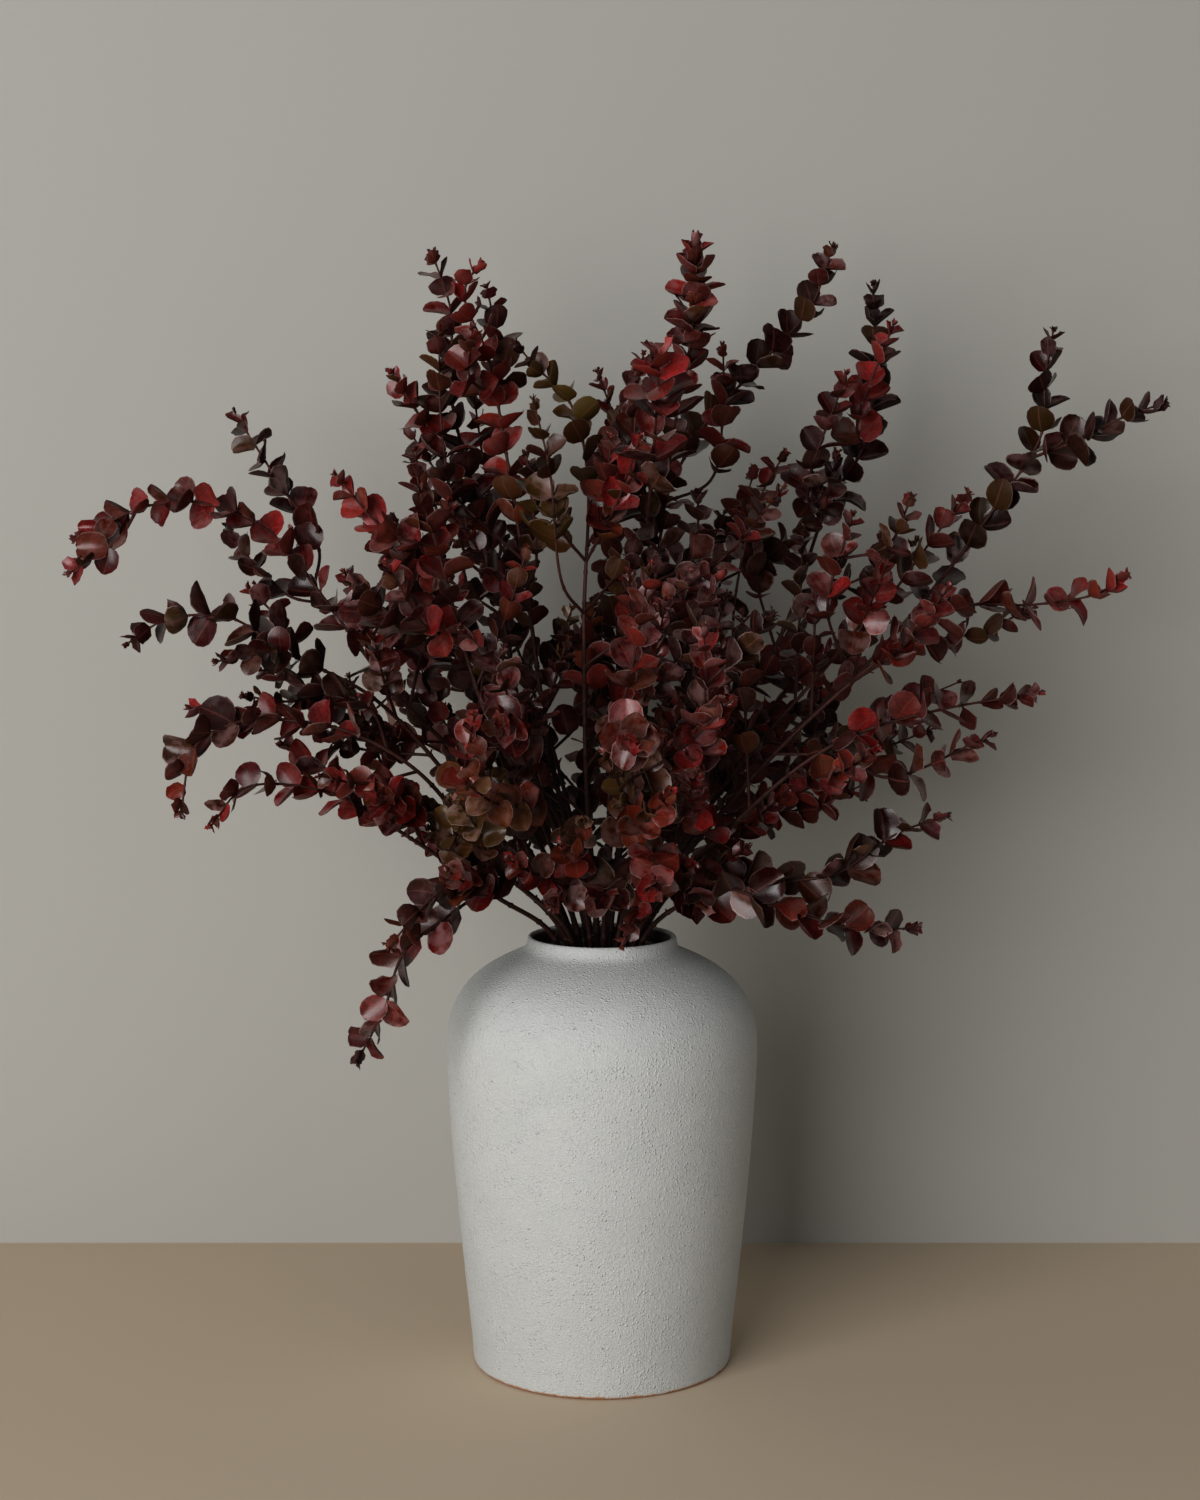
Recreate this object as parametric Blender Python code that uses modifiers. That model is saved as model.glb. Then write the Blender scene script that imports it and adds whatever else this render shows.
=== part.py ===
"""A bunch of burgundy eucalyptus standing in a ceramic vase.

Metres, +Z up. The origin is the middle of the vase's foot, and -Y is the front.
The bunch is grown by rule: each stem has a route chosen by hand, side twigs and
leaves follow from it, and every random draw is seeded.
"""

import math
import random

import bmesh
import bpy
from mathutils import Matrix, Vector
from mathutils.bvhtree import BVHTree

MM = 0.001

# The vase: radius and height in millimetres, down its outside from the rim to
# the foot, across the flat foot, and up the inside of its 6 mm wall.
VASE_HEIGHT = 300 * MM
RIM_TOP = [(50.6, 300), (52.4, 299.2), (52.9, 297.6), (52.0, 294)]
SHOULDER = [(54.5, 290), (64, 286), (78, 279), (91, 268.5), (100.5, 258), (106, 246)]
BODY = [(108.3, 226), (107.2, 192), (104.2, 150), (99.6, 98), (94.2, 46), (90.3, 8), (88.6, 0.6)]
FOOT_FLAT = [(87.8, 0), (0, 0)]
INSIDE_FLOOR = [(0, 8), (80, 8)]
INSIDE = [(85.5, 14), (98.3, 150), (102.3, 224), (100.2, 244.6), (86.9, 264.1), (61.5, 280.6)]
INSIDE_NECK = [(46.5, 287), (46.5, 294), (47.6, 298.6)]
VASE_SEGMENTS = 32

# The stems in the vase's neck and on its floor.
INSIDE_FLOOR_HEIGHT = 8 * MM
NECK_HEIGHT = 296 * MM
NECK_REACH = 40 * MM
NECK_GAP = 7.4 * MM
FLATTEST_LEAN = math.radians(62)
FLOOR_SPREAD = 1.15
FLOOR_GAP = 0.3 * MM
STEM_RADIUS = 2.7 * MM
TWIG_RADIUS = 1.15 * MM
TIP_RADIUS = 0.6 * MM

# Leaves stand in opposite pairs, each pair turned a quarter from the last.
TIP_LEAF = 6.5 * MM
FULL_LEAF = 25 * MM
ROSETTE_LEAF = 18 * MM
LEAF_GROWTH = 0.35
PAIR_GAP_AT_TIP = 3.2 * MM
PAIR_GAP_PER_LEAF = 0.56
ROSETTE_CROWDING = 0.42
SIDE_VIGOUR = 0.86
VIGOUR = (0.84, 1.08)
YOUNG_OPENING = 38
GROWN_OPENING = 53
ROSETTE_OPENINGS = (24, 38, 52, 62, 70, 76)
OPENING_SPREAD = 0.22
TURN_SPREAD = 0.14
LENGTH_SPREAD = (0.9, 1.08)
FIRST_PAIR_FROM_TIP = 0.8 * MM

# The leaves turn their faces to the window: some twigs hardly, the arching ones a lot.
WINDOW_WAY = (-0.45, -0.8, 0.4)
FACING = (0.0, 0.4)
ARCH_FACING = {"stem_left_arch": 0.7, "stem_low_left": 0.6, "stem_left_low": 0.5, "stem_right_low": 0.5}

# The blades as solids: thin lenses, narrow on a young leaf and round on a grown one.
YOUNG_WIDTH = 0.64
GROWN_WIDTH = 0.95
BLADE_THICKNESS = 0.9 * MM

# Routes in millimetres, from just above the vase's mouth to the tip. The first
# of each stem is its main axis. The number before a route is the length of it
# that carries leaves, and FULL marks a tip that is a dense head of large leaves.
FULL = "full"
STEMS = {
    "stem_left_arch": [
        (255, [(-85, -8, 410), (-140, -25, 470), (-185, -20, 530), (-225, -25, 580), (-265, -35, 598),
               (-300, -40, 597), (-350, -45, 575)]),
        (60, [(-320, -50, 575), (-350, -62, 553)]),
        (85, [(-146, -44, 500), (-170, -56, 552)]),
        (75, [(-215, 5, 535), (-242, 20, 558), (-260, 30, 582)]),
        (125, [(-195, 10, 570), (-225, 25, 615), (-255, 40, 660)]),
    ],
    "stem_left_mid": [
        (150, [(-95, -45, 405), (-150, -70, 470), (-205, -75, 500), (-245, -85, 525), (-285, -90, 522),
               (-307, -95, 508)]),
        (60, [(-212, -55, 518), (-235, -42, 542)]),
        (65, [(-215, -105, 503), (-245, -122, 498)]),
    ],
    "stem_left_low": [
        (120, [(-75, -75, 365), (-118, -108, 425), (-160, -120, 452), (-200, -120, 460), (-240, -120, 462),
               (-262, -124, 468)]),
        (110, [(-225, -140, 462), (-255, -150, 447), (-265, -152, 405)]),
        (80, [(-150, -100, 465), (-190, -92, 478), (-222, -88, 490)]),
    ],
    "stem_low_left": [
        (130, [(-72, -52, 336), (-130, -85, 382), (-168, -100, 408), (-210, -110, 418), (-232, -118, 415),
               (-250, -125, 393)]),
        (155, [(-100, -80, 328), (-130, -98, 305), (-142, -103, 270), (-160, -103, 235)]),
        (70, [(-125, -120, 400), (-138, -150, 412)], FULL),
        (60, [(-178, -92, 424), (-208, -92, 442)]),
    ],
    "stem_pink_low": [
        (115, [(-52, -85, 345), (-80, -112, 365), (-108, -130, 348), (-135, -138, 318)]),
        (60, [(-78, -140, 390), (-88, -165, 412)]),
    ],
    "stem_top_left": [
        (215, [(-52, 22, 430), (-76, 30, 560), (-104, 32, 670), (-104, 28, 730), (-116, 22, 768)]),
        (90, [(-118, 8, 650), (-142, -8, 686)]),
        (80, [(-108, 50, 575), (-120, 50, 605), (-134, 48, 632)]),
        (120, [(-92, 8, 560), (-108, -4, 640), (-110, -6, 715)]),
        (100, [(-72, 52, 560), (-84, 62, 630), (-92, 62, 690)]),
    ],
    "stem_top_left_inner": [
        (190, [(-36, -6, 430), (-55, -12, 570), (-66, -15, 640), (-76, -18, 695), (-92, -22, 738),
               (-82, -22, 757)]),
        (80, [(-88, -38, 682), (-85, -52, 712)]),
        (80, [(-44, -30, 560), (-50, -46, 630)]),
        (85, [(-68, 4, 690), (-78, 8, 744)]),
    ],
    "stem_left_front": [
        (150, [(-58, -50, 405), (-88, -72, 495), (-106, -80, 565), (-119, -86, 612), (-120, -88, 632)]),
        (95, [(-138, -95, 580), (-170, -106, 616)]),
        (80, [(-112, -120, 520), (-135, -140, 560)]),
        (60, [(-122, -88, 515), (-155, -95, 543)], FULL),
    ],
    "stem_olive_arch": [
        (110, [(-10, -32, 400), (-12, -42, 520), (-10, -38, 622), (-22, -38, 666), (-44, -45, 688),
               (-56, -50, 702)]),
        (60, [(-26, -62, 580), (-32, -72, 606)]),
        (120, [(-26, -66, 545), (-34, -84, 620), (-44, -92, 664)]),
        (70, [(0, -62, 590), (6, -72, 640)]),
    ],
    "stem_top": [
        (235, [(24, 4, 435), (38, -4, 560), (50, -10, 655), (60, -15, 705), (62, -20, 766)], FULL),
        (34, [(60, -20, 712), (62, -24, 735)], FULL),
        (95, [(76, 22, 615), (84, 34, 665), (84, 38, 706)]),
        (110, [(24, -40, 600), (22, -42, 682)]),
        (105, [(30, -62, 590), (34, -100, 644), (36, -130, 688)], FULL),
        (70, [(62, 4, 560), (66, 2, 605)]),
    ],
    "stem_long_arch": [
        (190, [(26, 32, 450), (40, 50, 585), (70, 56, 650), (110, 56, 694), (146, 52, 735), (160, 48, 775)]),
        (120, [(30, 82, 600), (22, 105, 660), (30, 112, 705)]),
    ],
    "stem_right_high": [
        (190, [(66, 48, 410), (126, 70, 500), (160, 72, 595), (186, 70, 640), (192, 65, 695),
               (190, 60, 750)]),
        (90, [(178, 42, 655), (200, 22, 720)]),
        (110, [(143, 30, 610), (166, 2, 685)]),
        (75, [(92, 36, 505), (97, 22, 560), (110, 14, 605), (125, 6, 632)]),
    ],
    "stem_right_tall": [
        (215, [(92, 20, 400), (180, 34, 480), (240, 32, 550), (276, 30, 600), (304, 30, 645), (306, 30, 685),
               (311, 30, 716)]),
        (110, [(322, 5, 640), (350, -10, 655), (377, -20, 665)]),
    ],
    "stem_right_inner": [
        (115, [(76, -16, 395), (140, -26, 475), (190, -35, 532), (214, -42, 566), (242, -50, 604)]),
        (80, [(150, -48, 530), (165, -58, 590)]),
        (75, [(188, -60, 570), (202, -72, 602)]),
    ],
    "stem_right_arch": [
        (170, [(84, -42, 395), (170, -66, 485), (235, -70, 530), (282, -74, 532), (325, -78, 540),
               (341, -82, 552)]),
    ],
    "stem_right_mid": [
        (150, [(84, -78, 385), (150, -104, 443), (215, -106, 465), (282, -104, 476)]),
        (95, [(180, -126, 424), (246, -138, 452)]),
    ],
    "stem_right_low": [
        (178, [(62, -62, 336), (106, -88, 350), (152, -100, 358), (190, -108, 385), (222, -108, 397)]),
        (150, [(88, -98, 347), (118, -112, 337), (160, -122, 326), (202, -124, 326)]),
    ],
    "stem_front_right": [
        (110, [(34, -78, 380), (60, -110, 435), (66, -128, 490), (64, -140, 520)]),
        (90, [(82, -132, 500), (108, -130, 528)]),
        (55, [(34, -120, 372), (33, -150, 358)], FULL),
        (40, [(24, -58, 328), (19, -66, 316), (14, -69, 305)]),
        (50, [(48, -66, 345), (62, -84, 336)], FULL),
    ],
    "stem_front": [
        (110, [(4, -74, 380), (8, -110, 445), (20, -132, 500), (30, -142, 560)]),
        (70, [(14, -140, 452), (18, -172, 452)], FULL),
        (50, [(4, -88, 350), (2, -112, 346)], FULL),
    ],
    "stem_front_left": [
        (120, [(-26, -80, 385), (-52, -118, 440), (-66, -138, 495), (-88, -150, 520)]),
        (70, [(-58, -150, 455), (-62, -178, 462)], FULL),
        (45, [(-24, -84, 345), (-32, -104, 338)]),
    ],
}

# The back of the bunch: stems fanned by rule from the right round to the left,
# flat and steep by turns, with their reach in millimetres.
BACK_STEMS = 8
BACK_AZIMUTHS = (28, 152)
BACK_TILTS = (62, 34)
BACK_REACH = (250, 310)
BACK_TILT_SPREAD = 6
BACK_REACH_SPREAD = 20
BACK_BEND = 0.12
BACK_DEPTH = 0.86
BACK_TWIGS = 3
BACK_ROOT_HEIGHT = 305
BACK_AXIS_PLACES = (120, 210, 290)
BACK_TIP_BEYOND = 40
BACK_LEAFY = 170
BACK_TWIG_SPACING = 62
BACK_TWIG_TURNS = (38, 55)
BACK_TWIG_RISE = (45, 85)
BACK_TWIG_LENGTHS = (78, 105)

# Side twigs along the bare part of each axis.
SIDE_FROM_HEIGHT = 350 * MM
SIDE_SPACING = 35 * MM
SIDE_LENGTHS = (78, 128)
TURN = math.radians(137.5)
SIDE_TRIES = 7
SIDE_ANGLES = (44, 58)
SIDE_MIDDLE = (0.55, 0.04)
SIDE_END = (0.95, 0.2)
SIDE_BARE = 16 * MM
CLEAR_OF_OTHERS = 7.8 * MM
CLEAR_OF_OWN = 5.2 * MM
STEP = 5 * MM

# Gaps in the bunch that are open when it is seen from the front, from EYE: the X, Z and
# reach of each in millimetres, where the line of sight crosses the plane Y = 0.
EYE = (0, -1713, 600)
GAPS = [(-177, 324, 24), (-170, 665, 23), (107, 644, 16), (89, 614, 9), (137, 361, 17), (172, 325, 11),
        (241, 479, 12), (234, 610, 10), (-26, 560, 12), (-21, 570, 8), (-23, 622, 10), (-36, 660, 5),
        (-20, 455, 6), (-21, 436, 6), (-21, 415, 6), (225, 551, 8), (-128, 350, 6), (-186, 580, 10),
        (-145, 608, 9), (178, 378, 8), (-281, 402, 9), (262, 560, 14)]
GAP_MARGIN = 7

TWIG_SEED = 100
LEAF_SEED = 500
BACK_SEED = 11

# The solids keep every axis and twig, every sixth side twig, and these pairs
# of leaves, counted from the tip.
PAIRS_KEPT = {"axis": range(1, 40, 4), "twig": range(1, 40, 6), "side": range(2, 3)}
SIDE_TWIGS_KEPT = 6
STRAIGHTENED_BY = 1.8 * MM
LEAF_CLEARANCE = 0.6 * MM
BLADE_ROOT = 0.2 * MM
BLADE_CUP = 0.16
WIDEST_AT = 0.4
BLADE_OUTLINE = {0: (1.0, 0.0), 60: (0.72, 0.37), 120: (0.3, 0.48), 180: (0.0, 0.0),
                 240: (0.3, -0.48), 300: (0.72, -0.37)}


def on_curve(p0, p1, p2, p3, share):
    """A point between p1 and p2 on the centripetal curve through all four."""
    k0 = 0
    k1 = k0 + (p1 - p0).length ** 0.5
    k2 = k1 + (p2 - p1).length ** 0.5
    k3 = k2 + (p3 - p2).length ** 0.5
    t = k1 + (k2 - k1) * share
    a = p0.lerp(p1, (t - k0) / (k1 - k0))
    b = p1.lerp(p2, (t - k1) / (k2 - k1))
    c = p2.lerp(p3, (t - k2) / (k3 - k2))
    d = a.lerp(b, (t - k0) / (k2 - k0))
    e = b.lerp(c, (t - k1) / (k3 - k1))
    return d.lerp(e, share)


def evenly(points, step):
    """The same path with its points one step apart."""
    lengths = [0]
    for a, b in zip(points, points[1:]):
        lengths.append(lengths[-1] + (b - a).length)
    count = max(2, round(lengths[-1] / step))
    spaced, i = [], 0
    for k in range(count + 1):
        wanted = lengths[-1] * k / count
        while i < len(points) - 2 and lengths[i + 1] < wanted:
            i += 1
        share = (wanted - lengths[i]) / max(lengths[i + 1] - lengths[i], 1e-9)
        spaced.append(points[i].lerp(points[i + 1], min(1, share)))
    return spaced


def smooth_route(points):
    """Points one step apart on a smooth curve through the given ones."""
    ends = [points[0] * 2 - points[1]] + points + [points[-1] * 2 - points[-2]]
    fine = []
    for four in zip(ends, ends[1:], ends[2:], ends[3:]):
        fine += [on_curve(*four, k / 10) for k in range(10)]
    return evenly(fine + [points[-1]], STEP)


def turned_frames(route, side):
    """A tangent and a side direction at each point, without twist."""
    frames = []
    for i in range(len(route)):
        ahead = (route[min(i + 1, len(route) - 1)] - route[max(i - 1, 0)]).normalized()
        side = (side - ahead * side.dot(ahead)).normalized()
        frames.append((ahead, side.copy()))
    return frames


def neck_places(first_points):
    """Where each stem passes the neck: the flatter it leans, the nearer the rim."""
    places = {}
    for name, first in first_points.items():
        out = Vector((first.x, first.y))
        lean = math.atan2(out.length, first.z - NECK_HEIGHT + 20 * MM)
        places[name] = out.normalized() * NECK_REACH * min(1, lean / FLATTEST_LEAN)
    names = list(places)
    for _ in range(300):
        for i, a in enumerate(names):
            for b in names[i + 1:]:
                apart = places[a] - places[b]
                short = NECK_GAP - apart.length
                if short > 0:
                    push = apart.normalized() * short * 0.5
                    places[a] += push
                    places[b] -= push
        for name, place in places.items():
            if place.length > NECK_REACH:
                places[name] = place * (NECK_REACH / place.length)
    return places


def back_stems():
    """The rear stems, as routes in the form that STEMS has."""
    draw = random.Random(BACK_SEED)
    made = {}
    first, last = BACK_AZIMUTHS
    for i in range(BACK_STEMS):
        azimuth = math.radians(first + (last - first) * i / (BACK_STEMS - 1))
        tilt = math.radians(BACK_TILTS[i % 2] + draw.uniform(-BACK_TILT_SPREAD, BACK_TILT_SPREAD))
        reach = BACK_REACH[i % 2] + draw.uniform(-BACK_REACH_SPREAD, BACK_REACH_SPREAD)
        out = Vector((math.cos(azimuth), math.sin(azimuth) * BACK_DEPTH, 0))
        across = Vector((-out.y, out.x, 0)) * draw.uniform(-BACK_BEND, BACK_BEND)

        def along(length):
            flat = out * math.sin(tilt) + across * (length / reach)
            return flat * length + Vector((0, 0, BACK_ROOT_HEIGHT + math.cos(tilt) * length))

        axis = [along(length) for length in BACK_AXIS_PLACES if length < reach]
        routes = [(BACK_LEAFY, axis + [along(reach + BACK_TIP_BEYOND)])]
        for k in range(BACK_TWIGS):
            root = along(BACK_AXIS_PLACES[0] + BACK_TWIG_SPACING * k)
            turn = math.radians(draw.uniform(*BACK_TWIG_TURNS)) * (1 if k % 2 else -1)
            aside = Matrix.Rotation(turn, 3, "Z") @ out
            rise = draw.uniform(*BACK_TWIG_RISE)
            far = draw.uniform(*BACK_TWIG_LENGTHS)
            routes.append((far, [root + aside * far * 0.5 + Vector((0, 0, rise * 0.6)),
                                 root + aside * far + Vector((0, 0, rise))]))
        made[f"stem_back_{i + 1}"] = routes
    return made


def nearest_index(route, point):
    return min(range(len(route)), key=lambda i: (route[i] - point).length_squared)


def least_gap(route, others):
    """The least distance from a route's points to those of the others."""
    return min((a - b).length for a in route for b in others) if others else 1.0


def in_gap(place, margin):
    """Whether a place would fill one of the gaps that are open from the front."""
    nearer = -EYE[1] / (place.y / MM - EYE[1])
    x = EYE[0] + (place.x / MM - EYE[0]) * nearer
    z = EYE[2] + (place.z / MM - EYE[2]) * nearer
    return any(math.hypot(x - gap_x, z - gap_z) < reach + margin for gap_x, gap_z, reach in GAPS)


def side_twig(carrier, at, turn, length, draw):
    """A short twig that leaves its carrier at an angle and curves upward."""
    ahead, side = turned_frames(carrier, Vector((0.3, 0.9, 0.1)))[at]
    out = Matrix.Rotation(turn, 3, ahead) @ side
    leaving = math.radians(draw.uniform(*SIDE_ANGLES))
    way = (ahead * math.cos(leaving) + out * math.sin(leaving)).normalized()
    root = carrier[at]
    up = Vector((0, 0, 1))
    middle = root + way * length * SIDE_MIDDLE[0] + up * length * SIDE_MIDDLE[1]
    return smooth_route([root, middle, root + way * length * SIDE_END[0] + up * length * SIDE_END[1]])


def leaves_along(route, leafy, full, aside, facing, draw):
    """The twig's leaves, from its tip down: root, directions, length and age."""
    youngest = ROSETTE_LEAF if full else TIP_LEAF
    frames = turned_frames(route, Vector((draw.uniform(-1, 1), draw.uniform(-1, 1), 0.3)))
    quarter = draw.uniform(0, math.pi)
    vigour = draw.uniform(*VIGOUR) * (SIDE_VIGOUR if aside else 1)
    turned = max(facing, draw.uniform(*FACING))
    window = Vector(WINDOW_WAY)
    leaves, down, number = [], FIRST_PAIR_FROM_TIP, 0
    while down < leafy:
        i = len(route) - 1 - down / STEP
        if i < 1.5:
            break
        low = int(i)
        root = route[low].lerp(route[min(low + 1, len(route) - 1)], i - low)
        ahead, side = frames[low]
        age = 1 - math.exp(-LEAF_GROWTH * number)
        size = vigour * (youngest + (FULL_LEAF - youngest) * age)
        opening = math.radians(YOUNG_OPENING + (GROWN_OPENING - YOUNG_OPENING) * min(1, age * 1.15))
        crowded = full and number < len(ROSETTE_OPENINGS)
        if crowded:
            opening = math.radians(ROSETTE_OPENINGS[number])
        for half in (0, 1):
            turn = quarter + number * math.pi / 2 + half * math.pi + draw.uniform(-TURN_SPREAD, TURN_SPREAD)
            out = Matrix.Rotation(turn, 3, ahead) @ side
            open_by = opening + draw.uniform(-OPENING_SPREAD, OPENING_SPREAD)
            along = ahead * math.cos(open_by) + out * math.sin(open_by)
            face = ahead * math.sin(open_by) - out * math.cos(open_by)
            lit = (window - along * window.dot(along)).normalized()
            if not crowded:
                face = face.lerp(lit, turned).normalized()
            leaves.append({"root": root, "along": along, "face": face, "age": age, "pair": number,
                           "length": size * draw.uniform(*LENGTH_SPREAD), "down": down})
        down += (PAIR_GAP_AT_TIP + PAIR_GAP_PER_LEAF * size) * (ROSETTE_CROWDING if crowded else 1)
        number += 1
    return leaves


def grow():
    """Every stem as a list of twigs, the first of them its axis from floor to tip."""
    routes = {**STEMS, **back_stems()}
    given = {}
    for name, twigs in routes.items():
        given[name] = [(row[0] * MM, [Vector(p) * MM for p in row[1]], FULL in row) for row in twigs]
    necks = neck_places({name: twigs[0][1][0] for name, twigs in given.items()})
    bunch, taken = {}, {}
    for name, twigs in given.items():
        neck = necks[name]
        floor = Vector((*(neck * FLOOR_SPREAD), INSIDE_FLOOR_HEIGHT + FLOOR_GAP))
        waist = Vector((*(neck * (1 + FLOOR_SPREAD) / 2), VASE_HEIGHT / 2))
        axis = smooth_route([floor, waist, Vector((*neck, NECK_HEIGHT))] + twigs[0][1])
        bunch[name] = [{"route": axis, "leafy": twigs[0][0], "kind": "axis", "full": twigs[0][2]}]
        for leafy, points, full in twigs[1:]:
            held_by = min(range(len(bunch[name])),
                          key=lambda k: least_gap(bunch[name][k]["route"], [points[0]]))
            carrier = bunch[name][held_by]["route"]
            at = max(2, nearest_index(carrier, points[0]) - 4)
            at = min(at, len(carrier) - 3)
            route = smooth_route([carrier[at]] + points)
            leafy = min(leafy, STEP * (len(route) - 3))
            bunch[name].append({"route": route, "leafy": leafy, "kind": "twig", "full": full,
                                "held_by": held_by})
        taken[name] = [p for twig in bunch[name] for p in twig["route"]]
    for number, name in enumerate(bunch):
        draw = random.Random(TWIG_SEED + number)
        axis = bunch[name][0]["route"]
        bare_end = len(axis) - int(bunch[name][0]["leafy"] / STEP)
        first = next((i for i, p in enumerate(axis) if p.z > SIDE_FROM_HEIGHT), len(axis))
        turn = draw.uniform(0, 6.28)
        for at in range(first, bare_end - 2, round(SIDE_SPACING / STEP)):
            length = draw.uniform(*SIDE_LENGTHS) * MM
            for _ in range(SIDE_TRIES):
                turn += TURN
                route = side_twig(axis, at, turn, length, draw)
                own = [p for twig in bunch[name][1:] for p in twig["route"]]
                others = [p for other in taken if other != name for p in taken[other]]
                near = [p for p in others if (p - route[0]).length < length * 1.3]
                clear = least_gap(route, near) > CLEAR_OF_OTHERS and least_gap(route[4:], own) > CLEAR_OF_OWN
                if clear and not any(in_gap(p, GAP_MARGIN) for p in route[4:]):
                    leafy = length - SIDE_BARE
                    bunch[name].append({"route": route, "leafy": leafy, "kind": "side", "full": False,
                                        "held_by": 0})
                    taken[name] += route
                    break
    for number, name in enumerate(bunch):
        draw = random.Random(LEAF_SEED + number)
        for twig in bunch[name]:
            grown = leaves_along(twig["route"], twig["leafy"], twig["full"], twig["kind"] == "side",
                                 ARCH_FACING.get(name, 0), draw)
            twig["leaves"] = [leaf for leaf in grown
                              if not in_gap(leaf["root"] + leaf["along"] * leaf["length"] / 2, 0)]
    return bunch


def material(name, colour, roughness):
    made = bpy.data.materials.new(name)
    made.use_nodes = True
    shader = made.node_tree.nodes["Principled BSDF"]
    shader.inputs["Base Color"].default_value = (*colour, 1)
    shader.inputs["Roughness"].default_value = roughness
    return made


def new_object(name, mesh, collection):
    made = bpy.data.objects.new(name, mesh)
    collection.objects.link(made)
    return made


def vase(collection):
    """The vase: a profile turned about Z, down the outside, under and up the inside."""
    outline = RIM_TOP + SHOULDER + BODY + FOOT_FLAT + INSIDE_FLOOR + INSIDE + INSIDE_NECK
    profile = [Vector((radius, 0, height)) * MM for radius, height in outline]
    mesh = bpy.data.meshes.new("vase")
    edges = [(i, i + 1) for i in range(len(profile) - 1)]
    mesh.from_pydata(profile, edges + [(len(profile) - 1, 0)], [])
    made = new_object("vase", mesh, collection)
    turn = made.modifiers.new("turned", "SCREW")
    turn.steps = turn.render_steps = VASE_SEGMENTS
    turn.use_merge_vertices = True
    turn.merge_threshold = 0.01 * MM
    turn.use_normal_calculate = True
    mesh.shade_smooth()
    mesh.materials.append(material("stucco ceramic", (0.62, 0.61, 0.58), 0.85))


def thinned(points, tolerance):
    """The fewest of the points that keep the path within the tolerance."""
    start, end = points[0], points[-1]
    line = (end - start).normalized()
    worst, where = 0, 0
    for i in range(1, len(points) - 1):
        off = points[i] - start
        gap = (off - line * off.dot(line)).length
        if gap > worst:
            worst, where = gap, i
    if worst <= tolerance:
        return [start, end]
    return thinned(points[:where + 1], tolerance)[:-1] + thinned(points[where:], tolerance)


def on_path(path, point):
    """The place on a path nearest to a point."""
    best = None
    for a, b in zip(path, path[1:]):
        share = max(0, min(1, (point - a).dot(b - a) / (b - a).length_squared))
        place = a.lerp(b, share)
        if best is None or (place - point).length_squared < (best - point).length_squared:
            best = place
    return best


def section(sides, collection):
    """A guide curve: the cross-section that a stem is swept with."""
    curve = bpy.data.curves.new(f"section_{sides}", "CURVE")
    curve.dimensions = "2D"
    line = curve.splines.new("POLY")
    line.points.add(sides - 1)
    for k, point in enumerate(line.points):
        turn = 2 * math.pi * k / sides
        point.co = (math.cos(turn), math.sin(turn), 0, 1)
    line.use_cyclic_u = True
    guide = new_object(f"section_{sides}", curve, collection)
    guide.hide_render = True
    guide.display_type = "WIRE"
    return guide


def tube(name, path, radii, guide, collection):
    """A tapering stem along a path, as a closed mesh."""
    curve = bpy.data.curves.new(name, "CURVE")
    curve.dimensions = "3D"
    curve.bevel_mode = "OBJECT"
    curve.bevel_object = guide
    curve.use_fill_caps = True
    line = curve.splines.new("POLY")
    line.points.add(len(path) - 1)
    for point, place, radius in zip(line.points, path, radii):
        point.co = (*place, 1)
        point.radius = radius
    drawn = new_object(name + "_curve", curve, collection)
    bpy.context.view_layer.update()
    mesh = bpy.data.meshes.new_from_object(drawn.evaluated_get(bpy.context.evaluated_depsgraph_get()))
    bpy.data.objects.remove(drawn)
    shape = bmesh.new()
    shape.from_mesh(mesh)
    bmesh.ops.remove_doubles(shape, verts=shape.verts, dist=0.001 * MM)
    bmesh.ops.recalc_face_normals(shape, faces=shape.faces)
    shape.to_mesh(mesh)
    shape.free()
    return new_object(name, mesh, collection)


def blade(leaf, root, thickness, larger=0.0):
    """One leaf as a thin lens: six points round its edge and one on each face."""
    shape = bmesh.new()
    bmesh.ops.create_uvsphere(shape, u_segments=6, v_segments=2, radius=1)
    length = leaf["length"] + larger
    width = YOUNG_WIDTH + (GROWN_WIDTH - YOUNG_WIDTH) * min(1, 1.4 * leaf["age"])
    for vert in shape.verts:
        if abs(vert.co.z) > 0.5:
            vert.co = (WIDEST_AT * length, 0, math.copysign(thickness / 2, vert.co.z))
        else:
            angle = round(math.degrees(math.atan2(vert.co.y, vert.co.x)) / 60) * 60 % 360
            ahead, aside = BLADE_OUTLINE[angle]
            aside *= width * length
            vert.co = (max(ahead * length, BLADE_ROOT), aside, BLADE_CUP * abs(aside))
    across = leaf["face"].cross(leaf["along"])
    place = Matrix((leaf["along"], across, leaf["face"])).transposed().to_4x4()
    place.translation = root
    bmesh.ops.transform(shape, matrix=place, verts=shape.verts)
    return shape


def kept_twigs(twigs):
    """The axis, its twigs and every sixth side twig."""
    kept, sides = [], 0
    for twig in twigs:
        if twig["kind"] != "side":
            kept.append(twig)
        else:
            sides += 1
            if sides % SIDE_TWIGS_KEPT == 1:
                kept.append(twig)
    return kept


def extent(tree_points):
    low = Vector(min(p[k] for p in tree_points) for k in range(3))
    high = Vector(max(p[k] for p in tree_points) for k in range(3))
    return low, high


def apart(a, b):
    return any(a[0][k] > b[1][k] or b[0][k] > a[1][k] for k in range(3))


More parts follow.
